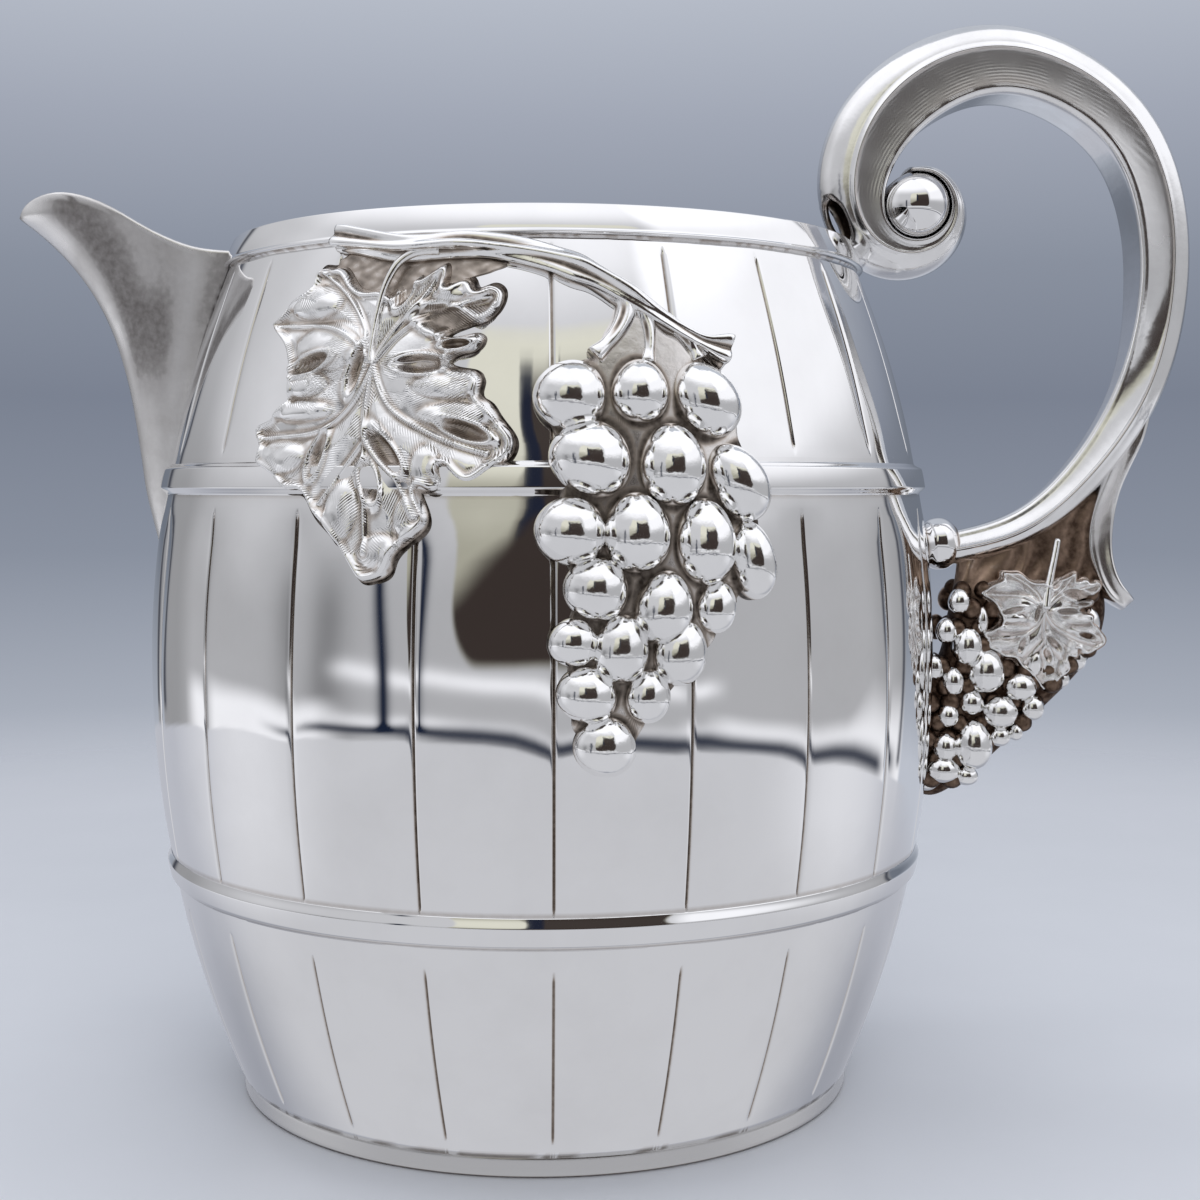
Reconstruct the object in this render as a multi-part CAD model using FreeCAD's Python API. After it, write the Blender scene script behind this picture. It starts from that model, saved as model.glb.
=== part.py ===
import FreeCAD, Part
import math
import os

from FreeCAD import Vector

# A barrel-shaped silver wine jug with an open beak spout, a hollow scroll handle and cast vine
# ornament. Millimetres, +Z up. The origin is the middle of the resting face, the spout points along
# -X, the handle along +X, and the front ornament faces -Y. The back ornament mirrors the front.

# Barrel body: an arc of revolution, with chased seams between the staves
BARREL_HEIGHT = 150.0
BELLY_RADIUS = 70.0
END_RADIUS = 54.0
WALL = 1.0
STAVES = 21
FIRST_SEAM_DEG = 1.0
SEAM_WIDTH = 0.7
SEAM_DEPTH = 0.4
SEAM_END_GAP = 1.6

# Base: a drawn ring under the wall, with a flat floor let into it
FOOT_HEIGHT = 3.4
FOOT_LEDGE = 0.4
FOOT_ROUND = 1.5
FOOT_WIDTH = 5.0
FLOOR_THICKNESS = 1.6
FLOOR_CLEARANCE = 0.05

# Bands round the barrel
RIM_HEIGHT = 4.8
RIM_RADIUS = 57.2
RIM_ROUND = 1.0
HOOP_HEIGHT = 5.2
HOOP_PROUD = 1.1
HOOP_EDGE = 0.8
UPPER_HOOP_DROP = 41.3
LOWER_HOOP_Z = 41.4

# Spout: an open beak whose keel leaves the wall and sweeps out to the lip
SPOUT_REACH = 94.1
SPOUT_DROP = 58.0
SPOUT_TIP_RISE = 5.2
SPOUT_LIP_RISE = 9.7
SPOUT_LIP_SETBACK = 7.6
SPOUT_SLOPE = 7.0
SPOUT_TAIL_PROUD = 1.5
SPOUT_HALF_WIDTH = 13.5
SPOUT_TAIL_HALF_WIDTH = 3.0
SPOUT_NOSE = 4.2
SPOUT_TAIL_NOSE = 2.0
SPOUT_ROOT_DEPTH = 4.0
SPOUT_WALL = 1.1
SPOUT_CHANNEL_START = 12.0
SPOUT_SLICES = 9
SPOUT_LIP_HOLLOW = 0.5
SPOUT_TIP_FULLNESS = 1.5

# Vine leaf on the wall: angle from the front, drop below the rim, and lobes as angle and length
LEAF_ANGLE = -23.0
LEAF_DROP = 23.5
LEAF_LOBES = [(-145, 17.5), (-106, 22.6), (-64, 24.3), (-1, 33.0), (61, 25.7), (117, 21.0), (161, 15.0)]
LOBE_HALF_DEG = 13.0
LOBE_SHOULDER = 0.82
LEAF_SINUS = 0.6
LEAF_RAISED_SHARE = 0.8
LEAF_EDGE = 1.8
LEAF_CREST = 3.0
LEAF_VEIN = 3.6
VEIN_HALF_WIDTH = 0.8

# Vine branch: knots as angle from the front and drop below the rim, then the three stalks
BRANCH_KNOTS = [(-34, 5.2), (-21, 6.8), (-6, 7.0), (7.5, 11.5), (16, 17.5), (24, 22.5)]
BRANCH_RADIUS = 1.8
KNOT_RADIUS = 2.2
STALKS = [((11, 13.5), (6.5, 27.0)), ((13.7, 16.5), (13.2, 28.0)), ((17, 18.0), (21.0, 28.0))]
STALK_RADIUS = 1.2

# Grape bunch on the wall: rows as drop below the rim, then angle and radius of each grape
BUNCH_ROWS = [
    (29.2, [(3.3, 5.0), (12.3, 4.4), (21.2, 5.1)]),
    (38.8, [(5.7, 5.6), (15.7, 5.2), (24.5, 4.7)]),
    (49.3, [(3.1, 4.8), (10.8, 4.9), (19.4, 5.0), (25.6, 3.9)]),
    (58.6, [(5.7, 4.3), (13.7, 4.5), (20.5, 3.3)]),
    (66.0, [(3.4, 3.1), (8.9, 4.1), (15.9, 4.0)]),
    (72.7, [(4.9, 3.8), (11.9, 3.4)]),
    (79.8, [(6.8, 3.9)]),
]
GRAPE_LIFT = 0.15
BUNCH_BACKING = 1.3
BACKING_COVER = 0.8

# Scroll handle: the ball in the eye of its volute sits out from and above the rim, and its lower
# end meets the wall at the knuckle
BALL_OUT = 9.7
BALL_RISE = 7.8
BALL_RADIUS = 5.9
BALL_CLEARANCE = 0.15
KNUCKLE_DROP = 52.7
KNUCKLE_RADIUS = 4.2
KNUCKLE_SINK = 0.6
HANDLE_WIDTH = 12.0
HANDLE_WALL = 1.0
VOLUTE_START_DEG = 70.0
VOLUTE_SWEEP_DEG = 250.0
VOLUTE_SECTIONS = 9
VOLUTE_TIP_SIDE = 0.6
VOLUTE_TIP_DOME = 1.6
VOLUTE_END_SIDE = 5.0
VOLUTE_END_DOME = 5.6
NOTCH_RISE = 8.5
NOTCH_CLEARANCE = 0.5

# Stations of the strap after the volute: reach out from the line knuckle to ball, rise above the
# knuckle, height of the flat side, height of the domed back, and what is taken off the width
STRAP_STATIONS = [
    (-4.6, 67.0, 6.8, 6.0, 0.0),
    (2.7, 75.6, 8.6, 5.4, 0.0),
    (14.6, 80.3, 8.2, 5.0, 0.0),
    (25.0, 77.9, 7.6, 4.7, 0.0),
    (34.4, 70.7, 7.0, 4.4, 0.0),
    (39.4, 59.5, 6.7, 4.1, 0.3),
    (40.2, 46.0, 6.2, 4.0, 0.8),
    (37.1, 30.1, 5.2, 3.8, 1.6),
    (28.5, 15.1, 3.9, 3.4, 2.8),
    (17.1, 5.7, 3.3, 3.0, 4.2),
    (5.0, 2.6, 2.8, 2.6, 5.4),
]
CAVITY_FIRST = 7
CAVITY_LAST = 2

# Tail spur behind the handle, as points out from and above the knuckle, and its width across
SPUR_OUTER = [(41.0, 22.0), (41.6, 17.8), (37.6, 10.9), (35.8, 3.0), (36.2, -5.6), (40.3, -10.6)]
SPUR_INNER = [(37.9, -12.8), (34.8, -10.6), (31.9, -4.0), (31.2, 2.5), (33.6, 9.0)]
SPUR_WIDTH = 9.0

# Grape bunch under the handle: outline and grapes as points out from and above the knuckle
HANGER_OUTLINE = [
    (7.2, -3.0), (18.0, 1.5), (33.0, 11.0), (35.0, -12.0), (33.2, -20.0), (27.0, -28.0),
    (17.0, -37.5), (7.0, -45.5), (1.5, -47.5), (-4.0, -46.0), (-4.0, -24.0), (3.4, -22.5),
    (6.0, -14.0), (7.4, -8.5),
]
HANGER_HALF_THICKNESS = 4.5
HANGER_GRAPES = [
    (8.5, -18.9, 2.7), (11.9, -23.5, 3.2), (5.9, -25.4, 2.0), (9.4, -29.3, 2.0), (14.6, -31.0, 2.7),
    (5.1, -31.7, 1.8), (9.7, -37.0, 3.4), (4.6, -37.5, 2.1), (4.3, -41.6, 2.2), (18.3, -26.4, 2.4),
    (20.6, -30.3, 1.8), (23.9, -24.3, 1.5), (27.5, -21.4, 1.8), (14.7, -35.5, 1.6), (31.0, -14.7, 2.0),
]
HANGER_LEAF_CENTRE = (22.0, -13.7)
HANGER_LEAF_LOBES = [(-150, 9.0), (-100, 11.0), (-55, 11.5), (-10, 12.0), (45, 11.5), (95, 11.0), (140, 8.0)]
HANGER_LEAF_THICKNESS = 2.2
HANGER_STEM_TOP = (25.2, 2.0)
HANGER_STEM_HALF_WIDTH = 0.9

MID_HEIGHT = BARREL_HEIGHT / 2
UPPER_HOOP_Z = BARREL_HEIGHT - UPPER_HOOP_DROP
KNUCKLE_Z = BARREL_HEIGHT - KNUCKLE_DROP
AXIS = Vector(0, 0, 1)
ACROSS = Vector(0, 1, 0)
ORIGIN = Vector(0, 0, 0)
ROOM = 60.0


def wall_radius(z, proud=0.0):
    """Radius at height z of the surface that stands proud of the barrel's outer arc."""
    sag = BELLY_RADIUS - END_RADIUS
    arc = (MID_HEIGHT ** 2 + sag ** 2) / (2 * sag)
    return BELLY_RADIUS - arc + math.sqrt((arc + proud) ** 2 - (z - MID_HEIGHT) ** 2)


def on_profile(z, proud=0.0):
    """Point of the barrel's profile in the XZ plane."""
    return Vector(wall_radius(z, proud), 0, z)


def on_barrel(angle_deg, z, proud=0.0):
    """Point on the barrel, with the angle counted from the front towards the handle."""
    turn = math.radians(angle_deg)
    radius = wall_radius(z, proud)
    return Vector(radius * math.sin(turn), -radius * math.cos(turn), z)


def outward_at(angle_deg):
    """Level direction out of the barrel at an angle from the front towards the handle."""
    turn = math.radians(angle_deg)
    return Vector(math.sin(turn), -math.cos(turn), 0)


def polygon_face(points):
    return Part.Face(Part.makePolygon(points + [points[0]]))


def line(start, end):
    return Part.LineSegment(start, end).toShape()


def arc(start, middle, end):
    return Part.Arc(start, middle, end).toShape()


def profile_arc(bottom, top, proud=0.0):
    middle = (bottom + top) / 2
    return arc(on_profile(bottom, proud), on_profile(middle, proud), on_profile(top, proud))


def turned(edges):
    """Solid of revolution about the barrel's axis."""
    return Part.Face(Part.Wire(edges)).revolve(ORIGIN, AXIS, 360)


def barrel_shell_face(bottom, top, inner, outer):
    """Profile between two arcs that stand proud of the barrel by inner and outer."""
    return Part.Face(Part.Wire([
        profile_arc(bottom, top, outer),
        line(on_profile(top, outer), on_profile(top, inner)),
        profile_arc(bottom, top, inner),
        line(on_profile(bottom, inner), on_profile(bottom, outer)),
    ]))


def barrel_shell(bottom, top, inner, outer):
    return barrel_shell_face(bottom, top, inner, outer).revolve(ORIGIN, AXIS, 360)


def barrel_core():
    """Everything inside the barrel's outer surface, to trim what is soldered on it."""
    return turned([
        profile_arc(0, BARREL_HEIGHT),
        line(on_profile(BARREL_HEIGHT), Vector(0, 0, BARREL_HEIGHT)),
        line(Vector(0, 0, BARREL_HEIGHT), ORIGIN),
        line(ORIGIN, on_profile(0)),
    ])


def mirrored(shape):
    return shape.mirror(ORIGIN, ACROSS)


def front_half(shape):
    """The part of a shape on the front side of the jug's middle plane."""
    box = shape.BoundBox
    low = Vector(box.XMin - ROOM, -ROOM, box.ZMin - ROOM)
    return shape.common(Part.makeBox(box.XLength + 2 * ROOM, ROOM, box.ZLength + 2 * ROOM, low))


def seams():
    """Thin plates on the meridians that cut the seams between the staves."""
    lower_top = LOWER_HOOP_Z + HOOP_HEIGHT / 2
    spans = [
        (FOOT_HEIGHT + SEAM_END_GAP, LOWER_HOOP_Z - HOOP_HEIGHT / 2 - SEAM_END_GAP),
        (lower_top, UPPER_HOOP_Z - HOOP_HEIGHT / 2 - SEAM_END_GAP),
        (UPPER_HOOP_Z + HOOP_HEIGHT / 2 + SEAM_END_GAP, BARREL_HEIGHT - RIM_HEIGHT - SEAM_END_GAP),
    ]
    cutters = []
    for bottom, top in spans:
        face = barrel_shell_face(bottom, top, -SEAM_DEPTH, SEAM_DEPTH)
        plate = face.extrude(ACROSS * SEAM_WIDTH)
        plate.translate(ACROSS * (-SEAM_WIDTH / 2))
        for stave in range(STAVES):
            angle = FIRST_SEAM_DEG + stave * 360.0 / STAVES
            place = on_barrel(angle, top)
            under_spout = place.x < 0 and abs(place.y) < SPOUT_HALF_WIDTH + SEAM_WIDTH
            if under_spout and top > UPPER_HOOP_Z:
                continue
            cutter = plate.copy()
            cutter.rotate(ORIGIN, AXIS, angle - 90)
            cutters.append(cutter)
    return Part.makeCompound(cutters)


def foot_outer():
    return wall_radius(FOOT_HEIGHT) - FOOT_LEDGE


def make_foot_ring():
    outer = foot_outer()
    inner = outer - FOOT_WIDTH
    diagonal = FOOT_ROUND * (1 - math.sqrt(0.5))
    round_start = Vector(outer - FOOT_ROUND, 0, 0)
    round_end = Vector(outer, 0, FOOT_ROUND)
    return turned([
        line(Vector(inner, 0, 0), round_start),
        arc(round_start, Vector(outer - diagonal, 0, diagonal), round_end),
        line(round_end, Vector(outer, 0, FOOT_HEIGHT)),
        line(Vector(outer, 0, FOOT_HEIGHT), Vector(inner, 0, FOOT_HEIGHT)),
        line(Vector(inner, 0, FOOT_HEIGHT), Vector(inner, 0, 0)),
    ])


def make_floor():
    return Part.makeCylinder(foot_outer() - FOOT_WIDTH - FLOOR_CLEARANCE, FLOOR_THICKNESS)


def make_hoop(height):
    """Flat band with sloping edges, on the barrel's own arc."""
    bottom = height - HOOP_HEIGHT / 2
    top = height + HOOP_HEIGHT / 2
    return turned([
        profile_arc(bottom, top),
        line(on_profile(top), on_profile(top - HOOP_EDGE, HOOP_PROUD)),
        profile_arc(bottom + HOOP_EDGE, top - HOOP_EDGE, HOOP_PROUD),
        line(on_profile(bottom + HOOP_EDGE, HOOP_PROUD), on_profile(bottom)),
    ])


def make_rim():
    """Upright band with a rounded top edge, filling the space outside the barrel's arc."""
    bottom = BARREL_HEIGHT - RIM_HEIGHT
    diagonal = RIM_ROUND * (1 - math.sqrt(0.5))
    round_start = Vector(RIM_RADIUS, 0, BARREL_HEIGHT - RIM_ROUND)
    round_end = Vector(RIM_RADIUS - RIM_ROUND, 0, BARREL_HEIGHT)
    return turned([
        line(on_profile(bottom), Vector(RIM_RADIUS, 0, bottom)),
        line(Vector(RIM_RADIUS, 0, bottom), round_start),
        arc(round_start, Vector(RIM_RADIUS - diagonal, 0, BARREL_HEIGHT - diagonal), round_end),
        line(round_end, on_profile(BARREL_HEIGHT)),
        profile_arc(bottom, BARREL_HEIGHT),
    ])


def spout_slice(share, inset):
    """Level slice of the spout: a wedge from inside the barrel to the rounded keel.

    share is 0 at the tail and 1 at the tip, and the keel's reach grows with its fifth power.
    """
    bottom = BARREL_HEIGHT - SPOUT_DROP
    z = bottom + share * (SPOUT_DROP + SPOUT_TIP_RISE)
    tail = wall_radius(bottom) + SPOUT_TAIL_PROUD
    sweep = SPOUT_REACH - tail - SPOUT_SLOPE
    keel = tail + SPOUT_SLOPE * share + sweep * share ** 5
    nose = SPOUT_TAIL_NOSE + (SPOUT_NOSE - SPOUT_TAIL_NOSE) * share - inset
    back_half = SPOUT_TAIL_HALF_WIDTH + (SPOUT_HALF_WIDTH - SPOUT_TAIL_HALF_WIDTH) * share - inset
    back = END_RADIUS - SPOUT_ROOT_DEPTH
    centre = keel - inset - nose
    length = math.hypot(centre - back, back_half)
    slant = math.asin(nose / length) - math.atan2(back_half, centre - back)
    run = math.sqrt(length ** 2 - nose ** 2)
    touch_x = -(back + run * math.cos(slant))
    touch_y = back_half + run * math.sin(slant)
    corner_a = Vector(-back, -back_half, z)
    corner_b = Vector(-back, back_half, z)
    touch_a = Vector(touch_x, -touch_y, z)
    touch_b = Vector(touch_x, touch_y, z)
    return Part.Wire([
        line(corner_b, corner_a),
        line(corner_a, touch_a),
        arc(touch_a, Vector(-(keel - inset), 0, z), touch_b),
        line(touch_b, corner_b),
    ])


def spout_body(inset, first_share):
    """Loft of level slices from first_share of the height up to above the lip."""
    wires = []
    for index in range(SPOUT_SLICES):
        share = first_share + (1 - first_share) * index / (SPOUT_SLICES - 1)
        wires.append(spout_slice(share, inset))
    body = Part.makeLoft(wires, True)
    top_wire = wires[-1]
    above = Part.Face(top_wire).extrude(AXIS * SPOUT_LIP_RISE)
    return body.fuse(above).removeSplitter()


def spout_trim():
    """What lies above the spout's lip: level at the rim, rising to the crest, round at the tip."""
    rim_end = Vector(-RIM_RADIUS, -ROOM, BARREL_HEIGHT)
    inside = Vector(0, -ROOM, BARREL_HEIGHT)
    crest = Vector(-(SPOUT_REACH - SPOUT_LIP_SETBACK), -ROOM, BARREL_HEIGHT + SPOUT_LIP_RISE)
    middle = (rim_end + crest) / 2 - AXIS * SPOUT_LIP_HOLLOW
    tip = Vector(-SPOUT_REACH, -ROOM, BARREL_HEIGHT + SPOUT_TIP_RISE)
    round_middle = (crest + tip) / 2 + Vector(-1, 0, 1) * SPOUT_TIP_FULLNESS
    outside = Vector(-(SPOUT_REACH + ROOM), -ROOM, tip.z)
    high_outside = Vector(outside.x, -ROOM, tip.z + ROOM)
    high_inside = Vector(0, -ROOM, tip.z + ROOM)
    face = Part.Face(Part.Wire([
        line(inside, rim_end),
        arc(rim_end, middle, crest),
        arc(crest, round_middle, tip),
        line(tip, outside),
        line(outside, high_outside),
        line(high_outside, high_inside),
        line(high_inside, inside),
    ]))
    return face.extrude(ACROSS * (2 * ROOM))


def lobed_outline(lobes, share=1.0):
    """Leaf outline about its vein node, as sideways and upward steps.

    Each lobe is an angle from straight down and a length. It has a tip and two shoulders, and a
    sinus lies midway to the next lobe.
    """
    spokes = []
    for index, (angle, length) in enumerate(lobes):
        next_angle, next_length = lobes[(index + 1) % len(lobes)]
        if next_angle < angle:
            next_angle += 360
        spokes.append((angle - LOBE_HALF_DEG, length * LOBE_SHOULDER))
        spokes.append((angle, length))
        spokes.append((angle + LOBE_HALF_DEG, length * LOBE_SHOULDER))
        spokes.append(((angle + next_angle) / 2, LEAF_SINUS * min(length, next_length)))
    steps = []
    for angle, length in spokes:
        turn = math.radians(angle)
        steps.append((share * length * math.sin(turn), -share * length * math.cos(turn)))
    return steps


def vein_outline(angle, length):
    """Long thin triangle from the vein node towards a lobe's tip."""
    turn = math.radians(angle)
    along = (math.sin(turn), -math.cos(turn))
    side = (math.cos(turn) * VEIN_HALF_WIDTH, math.sin(turn) * VEIN_HALF_WIDTH)
    reach = LEAF_RAISED_SHARE * length
    return [(-side[0], -side[1]), (side[0], side[1]), (reach * along[0], reach * along[1])]


def on_wall(steps, angle_deg, height, thickness):
    """A flat outline pressed on to the barrel as a plate of even thickness."""
    outward = outward_at(angle_deg)
    sideways = AXIS.cross(outward)
    start = outward * (END_RADIUS / 2)
    points = [start + sideways * step[0] + AXIS * (height + step[1]) for step in steps]
    prism = polygon_face(points).extrude(outward * (BELLY_RADIUS + ROOM))
    low = min(point.z for point in points)
    high = max(point.z for point in points)
    return prism.common(barrel_shell(low, high, 0, thickness))


def make_leaf():
    """Vine leaf in two steps of relief, with a raised vein along each lobe."""
    height = BARREL_HEIGHT - LEAF_DROP
    layers = [on_wall(lobed_outline(LEAF_LOBES), LEAF_ANGLE, height, LEAF_EDGE)]
    raised = lobed_outline(LEAF_LOBES, LEAF_RAISED_SHARE)
    layers.append(on_wall(raised, LEAF_ANGLE, height, LEAF_CREST))
    for angle, length in LEAF_LOBES:
        layers.append(on_wall(vein_outline(angle, length), LEAF_ANGLE, height, LEAF_VEIN))
    return layers[0].multiFuse(layers[1:]).removeSplitter()


def bunch_grapes():
    """Angle, height and radius of each grape on the wall."""
    return [(angle, BARREL_HEIGHT - drop, radius) for drop, row in BUNCH_ROWS for angle, radius in row]


def bunch_backing():
    """Plate under the bunch: each row's outer grapes give the two sides of its outline."""
    right = []
    left = []
    middle = sum(angle for angle, z, radius in bunch_grapes()) / len(bunch_grapes())
    for drop, row in BUNCH_ROWS:
        z = BARREL_HEIGHT - drop
        sides = []
        for angle, radius in row:
            across = wall_radius(z) * math.sin(math.radians(angle - middle))
            sides += [across - BACKING_COVER * radius, across + BACKING_COVER * radius]
        left.append((min(sides), -drop))
        right.append((max(sides), -drop))
    return on_wall(right + left[::-1], middle, BARREL_HEIGHT, BUNCH_BACKING)


def make_bunch():
    grapes = []
    for angle, z, radius in bunch_grapes():
        centre = on_barrel(angle, z, GRAPE_LIFT * radius)
        grapes.append(Part.makeSphere(radius, centre, outward_at(angle)))
    return bunch_backing().multiFuse(grapes).removeSplitter()


def rod(start, end, radius):
    return Part.makeCylinder(radius, (end - start).Length, start, end - start)


def make_branch():
    """Knotted branch along the rim, with three stalks down to the bunch."""
    knots = [on_barrel(angle, BARREL_HEIGHT - drop, BRANCH_RADIUS / 2) for angle, drop in BRANCH_KNOTS]
    pieces = []
    for (angle, drop), knot in zip(BRANCH_KNOTS, knots):
        pieces.append(Part.makeSphere(KNOT_RADIUS, knot, outward_at(angle)))
    for start, end in zip(knots, knots[1:]):
        pieces.append(rod(start, end, BRANCH_RADIUS))
    for (top_angle, top_drop), (low_angle, low_drop) in STALKS:
        top = on_barrel(top_angle, BARREL_HEIGHT - top_drop, STALK_RADIUS / 2)
        low = on_barrel(low_angle, BARREL_HEIGHT - low_drop, STALK_RADIUS / 2)
        pieces.append(rod(top, low, STALK_RADIUS))
    return pieces[0].multiFuse(pieces[1:]).removeSplitter()


def knuckle_centre():
    return Vector(wall_radius(KNUCKLE_Z) + KNUCKLE_RADIUS - KNUCKLE_SINK, 0, KNUCKLE_Z)


def ball_centre():
    return Vector(RIM_RADIUS + BALL_OUT, 0, BARREL_HEIGHT + BALL_RISE)


def by_knuckle(step):
    """Point in the middle plane, given out from the wall at the knuckle and above the knuckle."""
    return Vector(wall_radius(KNUCKLE_Z) + step[0], 0, KNUCKLE_Z + step[1])


def strap_point(reach, rise):
    """Point out from the line that joins the wall at the knuckle to the ball."""
    eye = ball_centre()
    share = min(rise / (eye.z - KNUCKLE_Z), 1.0)
    start = wall_radius(KNUCKLE_Z)
    return Vector(start + (eye.x - start) * share + reach, 0, KNUCKLE_Z + rise)


def handle_stations():
    """Inner line of the handle from the volute's tip to the knuckle, with each section's sizes."""
    eye = ball_centre()
    radius = BALL_RADIUS + BALL_CLEARANCE
    stations = []
    for index in range(VOLUTE_SECTIONS):
        share = index / (VOLUTE_SECTIONS - 1)
        turn = math.radians(VOLUTE_START_DEG - VOLUTE_SWEEP_DEG * share)
        point = eye + Vector(math.cos(turn), 0, math.sin(turn)) * radius
        side = VOLUTE_TIP_SIDE + (VOLUTE_END_SIDE - VOLUTE_TIP_SIDE) * share ** 2
        dome = VOLUTE_TIP_DOME + (VOLUTE_END_DOME - VOLUTE_TIP_DOME) * share
        stations.append((point, side, dome, HANDLE_WIDTH))
    for reach, rise, side, dome, narrower in STRAP_STATIONS:
        stations.append((strap_point(reach, rise), side, dome, HANDLE_WIDTH - narrower))
    return stations


def strap_section(point, outward, side, dome, width, inset):
    """D-shaped section: a flat inner face, flat sides and a domed back."""
    half = width / 2 - inset
    inner_a = point + outward * inset - ACROSS * half
    inner_b = point + outward * inset + ACROSS * half
    outer_a = point + outward * side - ACROSS * half
    outer_b = point + outward * side + ACROSS * half
    crest = point + outward * (side + dome - inset)
    return Part.Wire([
        line(inner_b, inner_a),
        line(inner_a, outer_a),
        arc(outer_a, crest, outer_b),
        line(outer_b, inner_b),
    ])


def strap_body(first, last, inset):
    """Loft of the strap's sections between two stations."""
    stations = handle_stations()
    spine = Part.BSplineCurve()
    spine.interpolate([station[0] for station in stations])
    wires = []
    for point, side, dome, width in stations[first:len(stations) - last]:
        along = Vector(*spine.tangent(spine.parameter(point))[0])
        outward = along.cross(ACROSS)
        wires.append(strap_section(point, outward, side, dome, width, inset))
    return Part.makeLoft(wires, True)


def notch_block():
    """Space over the rim that is cut away so the hollow volute clears the mouth."""
    low = Vector(ball_centre().x - ROOM, -HANDLE_WIDTH, BARREL_HEIGHT - RIM_ROUND)
    length = RIM_RADIUS + NOTCH_CLEARANCE - low.x
    return Part.makeBox(length, 2 * HANDLE_WIDTH, RIM_ROUND + NOTCH_RISE, low)


def middle_plane_prism(points, half_width):
    shifted = [point - ACROSS * half_width for point in points]
    return polygon_face(shifted).extrude(ACROSS * (2 * half_width))


def make_spur():
    outline = [by_knuckle(step) for step in SPUR_OUTER + SPUR_INNER]
    return middle_plane_prism(outline, SPUR_WIDTH / 2)


def make_hanger():
    """Flat core of the bunch under the handle, with grapes standing out of its front face."""
    core = middle_plane_prism([by_knuckle(step) for step in HANGER_OUTLINE], HANGER_HALF_THICKNESS)
    grapes = []
    for out, up, radius in HANGER_GRAPES:
        centre = by_knuckle((out, up)) - ACROSS * HANGER_HALF_THICKNESS
        grapes.append(Part.makeSphere(radius, centre, ACROSS))
    return front_half(core.multiFuse(grapes).removeSplitter())


def make_hanger_leaf():
    """Small vine leaf and its stem on the front face of the hanging bunch."""
    centre = by_knuckle(HANGER_LEAF_CENTRE)
    face_y = ACROSS * -HANGER_HALF_THICKNESS
    blade = []
    for sideways, up in lobed_outline(HANGER_LEAF_LOBES):
        blade.append(centre + Vector(sideways, 0, up) + face_y)
    stem_top = by_knuckle(HANGER_STEM_TOP)
    side = Vector(HANGER_STEM_HALF_WIDTH, 0, 0)
    stem = [centre - side + face_y, centre + side + face_y, stem_top + side + face_y, stem_top - side + face_y]
    out = ACROSS * -HANGER_LEAF_THICKNESS
    return polygon_face(blade).extrude(out).fuse(polygon_face(stem).extrude(out)).removeSplitter()


core = barrel_core()
rim = make_rim()
upper_hoop = make_hoop(UPPER_HOOP_Z)
spout_outside = spout_body(0.0, 0.0)
spout_channel = spout_body(SPOUT_WALL, SPOUT_CHANNEL_START / (SPOUT_DROP + SPOUT_TIP_RISE))
spout_above = spout_trim()
wall = barrel_shell(FOOT_HEIGHT, BARREL_HEIGHT, -WALL, 0).cut(spout_channel).cut(seams())
spout = spout_outside.cut([spout_channel, core, spout_above])
rim_band = rim.cut(spout_outside)

leaf = make_leaf().cut([upper_hoop, rim])
bunch = make_bunch().cut([core, upper_hoop])
branch = make_branch().cut([core, rim, leaf, bunch])

ball = Part.makeSphere(BALL_RADIUS, ball_centre())
knuckle = Part.makeSphere(KNUCKLE_RADIUS, knuckle_centre(), ACROSS).cut(core)
strap = strap_body(0, 0, 0.0)
cavity = strap_body(CAVITY_FIRST, CAVITY_LAST, HANDLE_WALL)
handle = strap.cut([cavity, core, rim, knuckle, notch_block()])
handle_half = front_half(handle)
spur = make_spur().cut(strap)
hanger = make_hanger().cut([core, strap, spur, knuckle])
hanger_leaf = make_hanger_leaf().cut([hanger, strap, spur])

nodes = {
    "barrel_wall": wall,
    "barrel_floor": make_floor(),
    "foot_ring": make_foot_ring(),
    "rim_band": rim_band,
    "upper_hoop": upper_hoop.cut(spout_outside),
    "lower_hoop": make_hoop(LOWER_HOOP_Z),
    "pouring_spout": spout,
    "volute_ball": ball,
    "handle_knuckle": knuckle,
    "handle_spur": spur,
}
paired = {
    "vine_leaf": leaf,
    "vine_branch": branch,
    "grape_bunch": bunch,
    "handle_half": handle_half,
    "handle_bunch": hanger,
    "handle_leaf": hanger_leaf,
}
for name, shape in paired.items():
    nodes[name + "_front"] = shape
    nodes[name + "_back"] = mirrored(shape)

os.makedirs("parts", exist_ok=True)
for name, shape in nodes.items():
    print(name, "solids", len(shape.Solids), "valid", shape.isValid(), "volume", round(shape.Volume, 1))
    shape.exportStep(os.path.join("parts", name + ".step"))
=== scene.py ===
import math

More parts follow.
